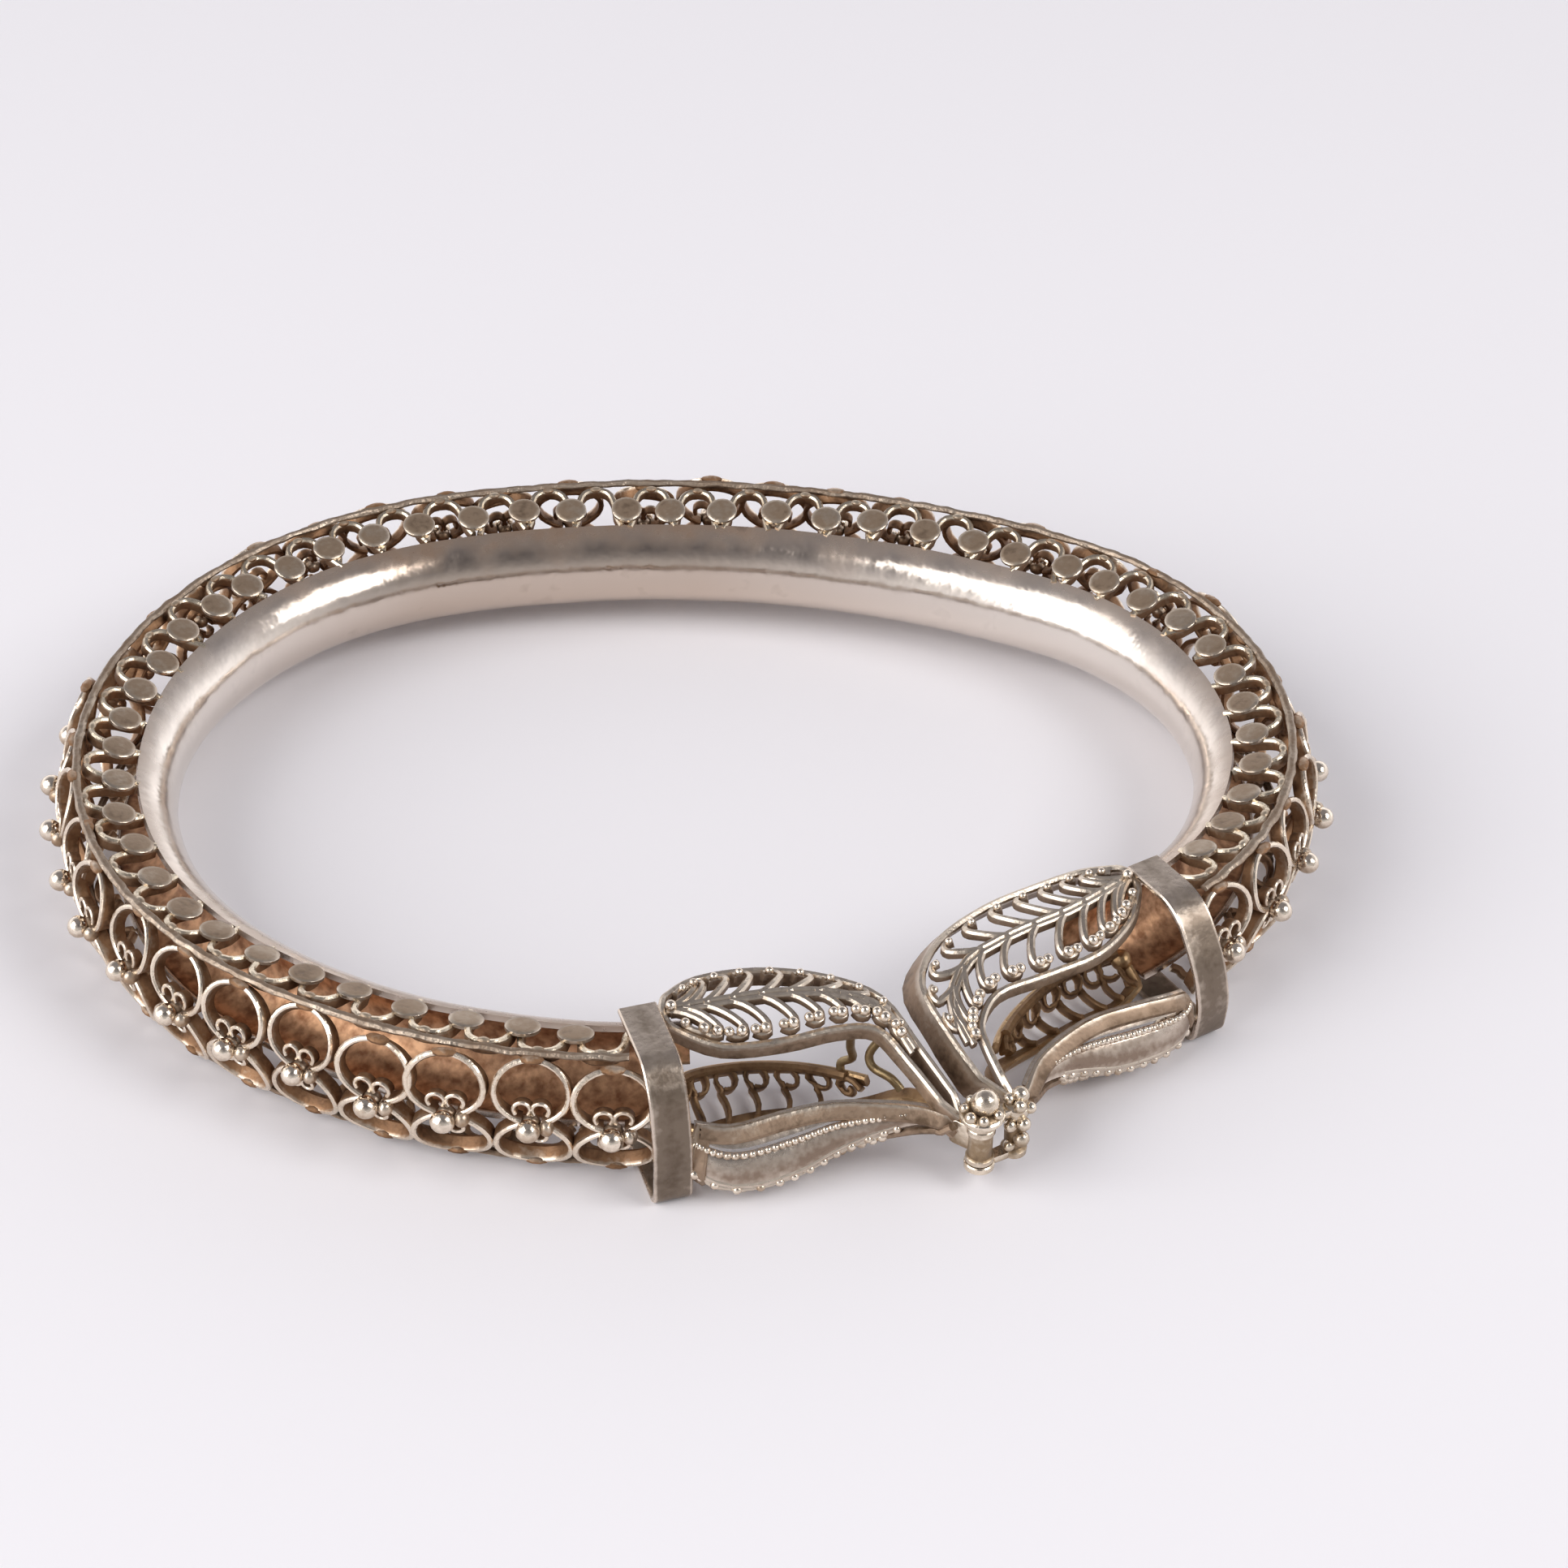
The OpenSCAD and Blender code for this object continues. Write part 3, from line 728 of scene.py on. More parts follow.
@dataclass
class Workshop:
    """What every sub-assembly needs: the paints, the node trees and how a piece is handed over."""

    paints: Paintbox = field(default_factory=Paintbox)
    repeat: Tree = field(default_factory=repeat_tree)
    sweep: Tree = field(default_factory=sweep_tree)
    grain: Tree = field(default_factory=grain_tree)
    scrap: list[Object] = field(default_factory=list)

    def __post_init__(self) -> None:
        """Makes the ball of radius 1 that small granules copy."""
        ball = Metalwork()
        ball.ball((0, 0, 0), 1 / MM, 6, 0.62)
        self.small_ball = self.keep(ball.mesh("small_ball"))

    def keep(self, made: Object) -> Object:
        """Keeps an object that a tree reads, until the end."""
        self.scrap.append(made)
        return made

    def clear(self) -> None:
        """Removes what was kept."""
        for made in self.scrap:
            bpy.data.objects.remove(made)
        self.scrap.clear()

    def hand_over(self, piece: Object, metal: Metal, body: str, slot: str, *replaced: str) -> None:
        """Dresses a piece and ties it to the frame.

        Args:
            piece: the piece.
            metal: its finish.
            body: the body it rides on.
            slot: not used.
            replaced: the CAD nodes it stands for.
        """
        if not piece.data.materials:
            piece.data.materials.append(self.paints.metal(metal))
        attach(piece, body)
        if replaced:
            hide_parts(*replaced)
        log.info("%s: %d faces, for %s", piece.name, len(piece.data.polygons), ", ".join(replaced) or "no node")

    def grow(self, tree: Tree, path: Array, name: str, metal: Metal, slot: str, node: str,
             marks: dict | None = None, **values: object) -> None:
        """Runs a node tree on a path, keeps the result as a plain mesh and hands it over as part of the ring.

        Args:
            tree: the tree.
            path: the points that the tree follows.
            name: the piece's name.
            metal: its finish.
            slot: the record's material slot.
            node: the CAD node it stands for.
            marks: values at the points, by attribute name.
            values: the tree's inputs, with _ for a space.
        """
        host = line_object(f"{name}_line", path, marks=marks)
        modifier = host.modifiers.new(tree.name, "NODES")
        modifier.node_group = tree
        values["material"] = self.paints.metal(metal)
        for item in tree.interface.items_tree:
            key = item.name.replace(" ", "_").lower()
            if item.item_type == "SOCKET" and item.in_out == "INPUT" and key in values:
                modifier[item.identifier] = values.pop(key)
        if values:
            raise ValueError(f"{tree.name} has no input {sorted(values)}")
        graph = bpy.context.evaluated_depsgraph_get()
        data = bpy.data.meshes.new_from_object(host.evaluated_get(graph))
        data.name = name
        host.modifiers.clear()
        bpy.data.objects.remove(host)
        shade(data)
        self.hand_over(put(name, data), metal, "ring", slot, node)


# ---------------------------------------------------------------- ring


@dataclass
class InnerWall:
    """Half-round sheet against the wrist: polished inside, coppery in its hollow."""

    radius: float = 3.7
    height: float = 7.0
    edge_out: float = -4.2
    sheet: float = 0.42
    collar_at: float = 1.0
    right_tongue: float = 6.5
    left_tongue: float = 2.6
    under: float = 105.0
    cut_h: float = 2.95
    steps: int = 22

    def section(self, below: float, bright: float) -> tuple[Array, dict[str, list]]:
        """The sheet's section, with its marks.

        Args:
            below: how far round it runs below its middle, in radians.
            bright: painted light on its copper, more on the tongues where the leaves shade them.

        Returns:
            Its points, and the wear and hollow marks at each; the hollow mark also carries painted shade and
            painted light on the copper.
        """
        half = math.asin(self.height / 2 / self.radius)
        centre = self.edge_out + self.radius * math.cos(half)
        angles = np.linspace(-below, half, self.steps + 1)
        rows = [(centre - r * math.cos(a), -(MID_Z + r * math.sin(a)))
                for r, way in ((self.radius, 1), (self.radius - self.sheet, -1)) for a in angles[::way]]
        # The wear falls off towards the top edge, so the upper band is darker: partly tarnish, partly painted
        # reflection of the dark room above.
        worn = [0.92 - 0.66 * max(0.0, math.sin(a)) ** 2.4 for a in angles]
        # Painted shade: the hollow's copper darkens towards its top edge, where little light gets in, and bright
        # scales it up as painted light.
        copper = [bright * (0.45 + 0.55 * min(1.0, max(0.0, 0.9 - a / half))) for a in angles[::-1]]
        n = self.steps + 1
        return np.array(rows), {"wear": worn + [0.45] * n, "hollow": [0.0] * (n + 1) + copper[1:-1] + [0.0]}

    def build(self, shop: Workshop) -> None:
        """Sweeps the wall along the rails, and its two tongues past the collars.

        Args:
            shop: the workshop.
        """
        far, near = RAILS.length(), self.collar_at
        whole, short = math.radians(self.under), math.asin((TUBE_H / 2 - self.cut_h) / self.radius)
        # The tongues' copper is 1.5 times as bright: painted light where the leaves shade them.
        for name, begin, end, below, bright in (("wall_sheet", -near, far + near, whole, 1.0),
                                                ("right_tongue", -self.right_tongue, -near, short, 1.5),
                                                ("left_tongue", far + near, far + self.left_tongue, short, 1.5)):
            profile = shop.keep(line_object("wall_section", *self.section(below, bright), closed=True))
            shop.grow(shop.sweep, RAILS.line(begin, end), name, Metal.WALL, "wall", "inner_wall", section=profile,
                      unevenness=0.00022, uneven_scale=110.0, seed=4)


@dataclass
class Rails:
    """The two rails: flattened wires, fused with solder, above and below."""

    width: float = 0.62
    thick: float = 0.42
    trim: float = 1.8
    chamfer: float = 0.15
    waist: float = 0.8

    def build(self, shop: Workshop) -> None:
        """Sweeps both rails.

        Args:
            shop: the workshop.
        """
        w, t, c = self.width / 2, self.thick / 2, self.chamfer
        outline = [(-w + c, -t), (0, -t * self.waist), (w - c, -t), (w, -t + c), (w, t - c), (w - c, t),
                   (0, t * self.waist), (-w + c, t), (-w, t - c), (-w, -t + c)]
        wear = [0.62, 0.42, 0.66, 0.7, 0.3, 0.2, 0.2, 0.2, 0.3, 0.7]
        for name, height, sign, seed in (("top_rail", TOP_Z - t, 1, 7), ("bottom_rail", LIFT + t, -1, 9)):
            points = np.array([(x, -height + sign * y) for x, y in outline][::sign])
            profile = shop.keep(line_object("rail_section", points, {"wear": wear[::sign]}, True))
            path = RAILS.line(self.trim, RAILS.length() - self.trim, 0.3)
            shop.grow(shop.sweep, path, f"{name}_wires", Metal.RAIL, "rail", name, section=profile,
                      unevenness=0.00036, uneven_scale=800.0, seed=seed)


@dataclass
class OuterBand:
    """Rows of ribbon loops between the rails, with small ears and a granule where they meet."""

    units: int = 39
    first: float = 2.65
    last: float = 200.1
    bulge: float = 1.85
    root: float = 0.5
    rim_in: float = 0.2
    loop_w: float = 2.46
    loop_h: float = 2.35
    loop_mid: float = 2.42
    opening: float = 33.0
    ribbon: float = 0.38
    depth: float = 1.1
    ear: float = 0.56
    ear_mid: float = 1.15
    ear_t: float = 0.26
    ear_depth: float = 0.8
    granule: float = 0.8

    def shell(self, s: float, w: float, out: float = 0.0) -> tuple[Point, Array]:
        """A place on the bulging surface between the rails, in a unit's own frame.

        Args:
            s: distance along the rails.
            w: distance up the surface from mid-height.
            out: distance off the surface.

        Returns:
            The place, and the direction in from it.
        """
        half, rise = TUBE_H / 2 - self.rim_in, self.bulge - self.root
        r = (half * half + rise * rise) / (2 * rise)
        a = w / r
        u, z = self.bulge - r + (r + out) * math.cos(a), (r + out) * math.sin(a)
        return (s, -u, MID_Z + z), unit(np.array([0.0, u + 3.0, -z * 0.8]))

    def trace(self, work: Metalwork, track: list, sign: int, thick: float, deep: float, dull: float = 0.0) -> None:
        """Adds a ribbon along a track of s and w on the surface, above mid-height or below it."""
        places = [self.shell(s, w) for s, w in smooth([(s, sign * w) for s, w in track])]
        work.ribbon(np.array([p for p, _ in places]), np.array([d for _, d in places]), thick, deep, dull)

    def half_unit(self, sign: int) -> Metalwork:
        """One loop with its ears, above mid-height or below it.

        Args:
            sign: 1 above, -1 below.

        Returns:
            The work.
        """
        work = Metalwork()
        gap = math.radians(self.opening)
        turn = [(-math.pi / 2 + gap) + (TAU - 2 * gap) * k / 11 for k in range(12)]
        loop = [(self.loop_w * math.cos(a), self.loop_mid + self.loop_h * math.sin(a)) for a in turn]
        self.trace(work, [(0.72, 0.12), *loop, (-0.72, 0.12)], sign, self.ribbon, self.depth)
        size = self.ear if sign > 0 else self.ear * 0.8
        for side in (-1, 1):
            arch = [(side * (size + 0.04) + size * math.cos(a), self.ear_mid + size * math.sin(a))
                    for a in np.linspace(-0.7, math.pi + 0.7, 8)]
            self.trace(work, arch, sign, self.ear_t, self.ear_depth, 0.05)
        top = self.shell(0.0, sign * (self.loop_mid + self.loop_h - 0.12))[0]
        work.ball((0.0, top[1] + 0.2, top[2]), (0.85, 0.42, 0.26), 5, 0.2)
        return work

    def build(self, shop: Workshop) -> None:
        """Repeats the units and the granules.

        Args:
            shop: the workshop.
        """
        both, lumps = self.half_unit(1), Metalwork()
        both.join(self.half_unit(-1))
        g = self.granule
        for place, size, rows, wear in (((-0.12, 0.0, 0.55), (g, g, g * 0.97), 10, 0.62),
                                        ((-0.05, 0.0, -0.35), (0.62, 0.6, 0.5), 6, 0.15),
                                        ((0.98, -0.12, 0.0), (0.5, 0.62, 0.56), 7, 0.3)):
            lumps.ball(self.shell(*place)[0], size, rows, wear)
        for work, name, metal, slot, node in ((both, "loop_work", Metal.LOOP, "filigree", "outer_band"),
                                              (lumps, "band_granules", Metal.GRANULE, "granule", "granules")):
            shop.grow(shop.repeat, RAILS.line(self.first, self.last), name, metal, slot, node,
                      unit=shop.keep(work.mesh(f"{name}_unit")), count=self.units, play=1.7, seed=11)


@dataclass(frozen=True)
class GalleryShape:
    """One gallery: the wall's edge as distance out and height, the disc's radius and place, the wire's depth."""

    name: str
    edge: Plan
    disc_r: float
    disc_at: float
    depth: float
    seed: int


@dataclass
class Galleries:
    """Horseshoe loops between a rail and the wall, with a flat disc over the legs of each pair."""

    count: int = 49
    trim: float = 3.4
    arch_w: float = 1.42
    foot: float = 0.22
    ribbon: float = 0.46
    disc_t: float = 0.34
    disc_rim: float = 0.07
    rail_at: Plan = (-0.62, 4.62)
    top: GalleryShape = GalleryShape("top_gallery", (-4.25, 3.62), 1.2, 0.64, 1.0, 20)
    bottom: GalleryShape = GalleryShape("bottom_gallery", (-2.0, 3.75), 0.62, 0.55, 0.7, 21)

    def units(self, pitch: float, shape: GalleryShape) -> tuple[Metalwork, Metalwork]:
        """One horseshoe and one disc, as they are in an upper gallery.

        Args:
            pitch: distance between horseshoes.
            shape: the gallery.

        Returns:
            The horseshoe and the disc.
        """
        a, b = np.array(self.rail_at), np.array(shape.edge)
        slope = unit(b - a)

        def place(s: float, g: float, off: float = 0.0) -> Array:
            """A place on the gallery, g from 0 at the rail to 1 at the wall, off it by a height."""
            u, z = a + (b - a) * g
            return np.array([s, -(u - off * slope[1]), z - off * slope[0] + MID_Z])

        arch, disc, w = Metalwork(), Metalwork(), self.arch_w
        leg = [(pitch / 2 - self.foot, 1.0), (w * 1.02, 0.72), (w, 0.45), (w * 0.8, 0.17), (w * 0.36, 0.03)]
        track = [(-s, g) for s, g in leg] + leg[::-1]
        arch.ribbon(np.array([place(s, g) for s, g in smooth(track)]), np.array([0.0, -0.28, -0.96]), self.ribbon,
                    shape.depth)
        arch.ball(place(0, 0.0, -0.12), (0.5, 0.3, 0.22), 5, 0.4)
        run = unit(place(0, 1) - place(0, 0))
        across = np.array([(1.0, 0, 0), run, np.cross((1.0, 0, 0), run)])
        r, t, rim = shape.disc_r, self.disc_t, self.disc_rim
        rows = [(r * 0.72, 0.04, 0.35), (r - rim, 0.0, 0.72), (r, -rim, 1.0),
                (r, rim - t, 0.6), (r - rim, -t, 0.2)]
        disc.turned(place(pitch / 2, shape.disc_at, 0.30), rows, False, 20, across)
        return arch, disc

    def build(self, shop: Workshop) -> None:
        """Repeats the units above and, narrower, below.

        Args:
            shop: the workshop.
        """
        begin, end = self.trim, RAILS.length() - self.trim
        pitch = (end - begin) / (self.count - 1)
        for shape in (self.top, self.bottom):
            arch, disc = self.units(pitch, shape)
            for work, kind, metal, count, last in ((arch, "loops", Metal.GALLERY, self.count, end),
                                                   (disc, "discs", Metal.DISC, self.count - 1, end - pitch)):
                name = f"{shape.name}_{kind}"
                used = work if shape is self.top else work.mirrored(MID_Z)
                shop.grow(shop.repeat, RAILS.line(begin, last), name, metal, "filigree", shape.name,
                          unit=shop.keep(used.mesh(f"{name}_unit")), count=count, play=0.8, seed=shape.seed)


@dataclass
class Collar:
    """Flat strip round the tube at one end, open towards the wrist.

    A row of its shape is a corner: distance out, height over the tube's underside, and radius.
    """

    name: str
    at: Plan
    heading: float
    shape: tuple[Point, ...]
    width: float = 2.6
    sheet: float = 0.43
    reach: float = 4.8
    bevel: float = 0.1
    pitch: float = 0.5
    worn_edge: float = 0.25
    dull: float = 0.12
    shine: float = 0.5

    def outline(self) -> Array:
        """The strip's line round the tube, as distance out and height, with its corners rounded.

        Returns:
            The points from the lower end to the upper one.
        """
        rows, half = [np.array(r[:2]) for r in self.shape], self.sheet / 2
        lower, upper = (a + (b - a) * (-self.reach - a[0]) / (b[0] - a[0])
                        for a, b in ((rows[0], rows[1]), (rows[-1], rows[-2])))
        out = [lower + (0, half)]
        for before, here, after, (_, _, radius) in zip(rows, rows[1:], rows[2:], self.shape[1:]):
            u, v = unit(here - before), unit(after - here)
            bend = math.acos(float(np.clip(u @ v, -1, 1)))
            r = radius - half
            side = np.array([-u[1], u[0]])
            corner = here + half * (side + np.array([-v[1], v[0]])) / (1 + u @ v)
            centre = corner - u * r * math.tan(bend / 2) + side * r
            start = math.atan2(u[1], u[0]) - math.pi / 2
            for a in (start + bend * k / 8 for k in range(9)):
                out.append(centre + r * np.array([math.cos(a), math.sin(a)]))
        return np.array([*out, upper - (0, half)])

    def world(self, u: float, h: float, along: float) -> Array:
        """Turns a place in the collar's own frame into the shared one.

        Args:
            u: distance out.
            h: height over the tube's underside.
            along: distance along the rails.

        Returns:
            The place in the shared frame.
        """
        a = math.radians(self.heading)
        out, run = np.array([math.sin(a), -math.cos(a)]), np.array([math.cos(a), math.sin(a)])
        return np.append(np.array(self.at) + out * u + run * along, LIFT + h)

    def build(self, shop: Workshop) -> None:
        """Bends the strip, which is dull on its faces, with a painted highlight on top.

        Args:
            shop: the workshop.
        """
        line = self.outline()
        dense = [line[0]]
        for p in line[1:]:
            q = dense[-1]
            steps = max(1, int(np.linalg.norm(p - q) / self.pitch))
            dense += [q + (p - q) * (k + 1) / steps for k in range(steps)]
        edge = np.array([self.world(u, h, -self.width / 2) for u, h in dense])
        run = self.world(0, 0, 1) - self.world(0, 0, 0)
        side = unit(np.cross(tangents(edge), run))
        h, w, c = self.sheet / 2, self.width, self.bevel
        face = [(h, c), (h, self.worn_edge), (h, w / 2), (h, w - self.worn_edge), (h, w - c)]
        section = [(-h + c, 0), (h - c, 0), *face, (h - c, w), (-h + c, w), *((-a, b) for a, b in face[::-1])]
        rings = np.stack([edge + side * a + run * b for a, b in section], 1)
        wear = np.array([0.95, 0.95, 0.9, 0.55, 0.42, 0.55, 0.9, 0.95, 0.95, 0.9, 0.4, 0.2, 0.4, 0.9])
        work = Metalwork()
        # Painted highlight: the wear is raised on top of the strip, so it shows brighter there.
        work.loft(rings, wear - self.dull + self.shine * np.clip(-side[:, 2:], 0, 1) ** 3)
        shop.hand_over(work.mesh(f"{self.name}_strip"), Metal.COLLAR, "ring", "collar", self.name)


Row = tuple[float, float, float, float, float, float, float]


class Leaf(Enum):
    """How a leaf is filled."""

    FERN = "veins from a midrib to both rims"
    BANDED = "flat strips and a beaded line above, veins below"
    COMMAS = "stems from the lower rim that curl under the upper one"


@dataclass
class Petal:
    """One leaf of a lantern end: rims of flat wire, filled with veins or commas and granules.

    A row of the table is a section across the leaf: two rims and how far its middle stands out.
    """

    name: str
    side: int
    rows: tuple[Row, ...]
    filling: Leaf
    veins: int = 9
    first: float = 0.12
    last: float = 3.7
    rim_depth: float = 1.2
    far_depth: float = 1.2
    far_lean: float = 0.0
    tip: Point | None = None
    rim_t: float = 0.52
    end_reach: float = 0.30
    clear: float = 0.52
    wire_depth: float = 0.8
    midrib: float = 0.22
    rib_t: float = 0.42
    bar: float = 0.4
    bar_t: float = 0.66
    bar_depth: float = 0.9
    curl: float = 0.64
    curl_mid: float = 1.02

    def row(self, s: float) -> Array:
        """The section at a row number, on a smooth curve through the table."""
        p = np.array(self.rows)
        return between(p, s) if s >= 0 else p[0] + (p[0] - between(p, 0.2)) * (-s / 0.2)

    def normal(self, s: float) -> Array:
        """Finds the direction out of the leaf.

        Args:
            s: row number.

        Returns:
            The direction.
        """
        before, here, after = self.row(max(s - 0.1, -0.3)), self.row(s), self.row(min(s + 0.1, len(self.rows) - 1))
        run = (after[:3] + after[3:6] - before[:3] - before[3:6]) / 2
        return self.side * unit(np.cross(run, here[3:6] - here[:3]))

    def point(self, s: float, t: float, out: float = 0.0) -> Array:
        """A place on the leaf.

        Args:
            s: row number from the collar to the clasp.
            t: 0 at one rim to 1 at the other.
            out: distance off the leaf.

        Returns:
            The place in the shared frame.
        """
        r = self.row(s)
        swell = r[6] * math.sin(math.pi * min(max(t, 0), 1)) ** 0.8
        place = r[:3] * (1 - t) + r[3:6] * t + (swell + out) * self.normal(s) + SHIFT
        return np.append(place[:2], max(place[2], self.clear))

    def width(self, s: float) -> float:
        """Distance between the rims."""
        r = self.row(min(s, len(self.rows) - 1))
        return float(np.linalg.norm(r[3:6] - r[:3]))

    def per_mm(self, s: float) -> float:
        """Row numbers to a millimetre here."""
        return 1 / float(np.linalg.norm(self.point(s + 0.05, 0.5) - self.point(s - 0.05, 0.5)) / 0.1)

    def ribbon(self, work: Metalwork, track: list, thick: float, deep: float, taper: float = 1.0) -> None:
        """Adds flat wire on edge.

        Args:
            work: the leaf's work.
            track: its path, as row numbers and shares of the way across.
            thick: thickness.
            deep: depth.
            taper: thickness at the end, as a share of that at the start.
        """
        path = smooth(track)
        line = np.array([self.point(s, t) for s, t in path])
        work.ribbon(line, np.array([-self.normal(s) for s, _ in path]), thick, deep, taper=taper)

    def rim(self, work: Metalwork) -> None:
        """Adds the rim: up one side, round the collar end and back along the other.

        Args:
            work: the leaf's work.
        """
        n = len(self.rows) - 1
        begin = self.last + 1.1 if self.filling is Leaf.COMMAS else n
        path = [(s, 0.0) for s in np.linspace(begin, 0.0, n * 4 + 1)]
        turn = np.linspace(0.4, math.pi - 0.4, 7)
        path += [(-self.end_reach * math.sin(a), (1 - math.cos(a)) / 2) for a in turn]
        path += [(s, 1.0) for s in np.linspace(0.0, n, n * 4 + 1)]
        line = np.array([self.point(s, t) for s, t in path])
        far = np.clip([2 * t - 0.5 for _, t in path], 0, 1)
        depth = self.rim_depth + (self.far_depth - self.rim_depth) * far
        if self.filling is Leaf.FERN:
            across = [unit(self.point(max(s, 0), 1) - self.point(max(s, 0), 0)) for s, _ in path]
            inward = [self.far_lean * f * run - self.normal(s) for (s, _), f, run in zip(path, far, across)]
        else:
            inward = [self.point(max(s, 0.0) + 0.3 * (s < 0), t + 0.15 * (0.5 - t)) - p
                      for (s, t), p in zip(path, line)]
        if self.tip is not None:
            tip = np.array(self.tip) + SHIFT
            line = np.concatenate([smooth([tip, *line[:2]], 3)[:3], line, smooth([*line[-2:], tip], 3)[-3:]])
            inward, depth = np.pad(inward, ((3, 3), (0, 0)), "edge"), np.pad(depth, 3, "edge")
        work.ribbon(line, np.array(inward), self.rim_t, depth)

    def band(self, work: Metalwork, low: float, high: float, end: float) -> None:
        """Adds a flat strip that lies along the leaf.

        Args:
            work: the leaf's work.
            low: its one edge, as a share of the way across.
            high: its other edge.
            end: the row number where it ends.
        """
        across = [low, low + 0.02, (low + high) / 2, high - 0.02, high]
        rings = [[self.point(s, t, 0.02 - 0.06 * (t in (low, high))) for t in across]
                 + [self.point(s, t, -0.32) for t in across[::-1]] for s in np.linspace(-0.1, end, 24)]
        work.loft(np.array(rings), np.array([0.9, 0.7, 0.35, 0.7, 0.9, 0.5, 0.2, 0.2, 0.2, 0.5]))

    def vein(self, work: Metalwork, grains: list, s0: float, way: int) -> None:
        """Adds one vein that leaves the midrib towards the clasp and curls back at a rim, with its granules.

        Args:
            work: the leaf's work.
            grains: centres and radii of the granules, added to.
            s0: row number of its root.
            way: -1 towards the first rim, 1 towards the second.
        """
        k = self.per_mm(s0)
        half = self.width(s0 + 1.2 * k) / 2
        r = half - 0.75
        shape = [(-0.5, 0.05), (0.25, 0.22 * r), (0.95, 0.55 * r), (1.35, 0.86 * r), (1.2, r + 0.12),
                 (0.75, r + 0.2), (0.4, r)]

        def place(x: float, y: float) -> Plan:
            """Row number and share of the way across, from millimetres along and across."""
            return s0 + x * k, 0.5 + way * y / (2 * half)

        self.ribbon(work, [place(x, y) for x, y in shape], 0.58, 0.75, 0.72)
        for x, y, size in ((1.1, r + 0.05, 0.42), (0.42, r + 0.05, 0.38)) if way < 0 else ((0.8, r, 0.3),):
            grains.append((self.point(*place(x, y), 0.1), size))

    def comma(self, work: Metalwork, s0: float) -> None:
        """Adds one stem from the lower rim that curls into an open ring under the upper rim.

        Args:
            work: the leaf's work.
            s0: row number of its root.
        """
        k, wide, mid = self.per_mm(s0), self.width(s0), self.curl_mid
        shape = [(-0.7, wide - 0.15), (-0.2, wide * 0.8), (0.0, wide * 0.58), (-0.05, mid + 0.75)]
        shape += [(0.5 - self.curl * math.cos(a), mid - self.curl * math.sin(a))
                  for a in (-0.7, 0.2, 1.1, 2.0, 2.9, 3.8, 4.7, 5.3)]
        self.ribbon(work, [(s0 + x * k, y / wide) for x, y in shape], 0.34, self.wire_depth)

    def spiral(self, work: Metalwork, s0: float, radius: float) -> None:
        """Adds a spiral under the upper rim.

        Args:
            work: the leaf's work.
            s0: row number of its middle.
            radius: its outer radius.
        """
        k, wide = self.per_mm(s0), self.width(s0)
        turns = [(radius * (1 - 0.1 * i), 0.75 * i) for i in range(10)]
        track = [(s0 + r * math.cos(a) * k, (self.bar + radius - r * math.sin(a)) / wide) for r, a in turns]
        self.ribbon(work, track, 0.38, self.wire_depth)

    def strips(self, shop: Workshop, grains: list) -> None:
        """Makes the flat strips with a beaded line between them.

        Args:
            shop: the workshop.
            grains: centres and radii of the granules, added to.
        """
        work = Metalwork()
        self.band(work, 0.885, 0.995, 5.9)
        self.band(work, 0.50, 0.83, 5.7)
        bead = [(s, 0.858) for s in np.linspace(0.0, 5.6, 41)]
        work.wire(np.array([self.point(s, t, 0.06) for s, t in bead]), 0.2, 0.55)
        grains += [(self.point(s, t, 0.14), 0.27) for s, t in bead[:34]]
        grains += [(self.point(s, 0.46, -0.1), 0.34) for s in np.linspace(0.3, 4.4, 13)]
        shop.hand_over(work.mesh(f"{self.name}_strips"), Metal.STRIP, "ring", "petal", self.name)

    def build(self, shop: Workshop) -> None:
        """Makes the leaf and its granules.

        Args:
            shop: the workshop.
        """
        work, grains, end = Metalwork(), [], self.last + 0.7
        dark = self.filling is Leaf.COMMAS
        metal, ball_metal = (Metal.BROWN, Metal.BROWN) if dark else (Metal.LEAF, Metal.GRANULE)
        slot = "dark_petal" if dark else "petal"
        self.rim(work)
        roots = np.linspace(self.first, self.last, self.veins)
        if dark:
            for s0 in roots:
                self.comma(work, s0)
            self.spiral(work, self.last + 0.62, 0.95)
            track = [(s, self.bar / self.width(s)) for s in np.linspace(0.0, end, 14)]
            self.ribbon(work, track, self.bar_t, self.bar_depth)
            grains.append((self.point(self.first - 0.30, 2 * self.bar / self.width(self.first), -0.1), 0.85))
        else:
            for off in (-self.midrib, self.midrib):
                track = [(s, 0.5 + off / self.width(s)) for s in np.linspace(-0.05, end, 10)]
                self.ribbon(work, track, self.rib_t, self.wire_depth)
            for s0 in roots:
                for way in (-1,) if self.filling is Leaf.BANDED else (-1, 1):
                    self.vein(work, grains, s0, way)
            grains.append((self.point(0.0, 0.5, 0.15), 0.42))
        if self.filling is Leaf.BANDED:
            self.strips(shop, grains)
        shop.hand_over(work.mesh(f"{self.name}_wires"), metal, "ring", slot, self.name)
        shop.grow(shop.grain, [p for p, _ in grains], f"{self.name}_granules", ball_metal, slot, self.name,
                  marks={"ball_r": [r * MM for _, r in grains]}, ball=shop.small_ball, seed=len(self.name))


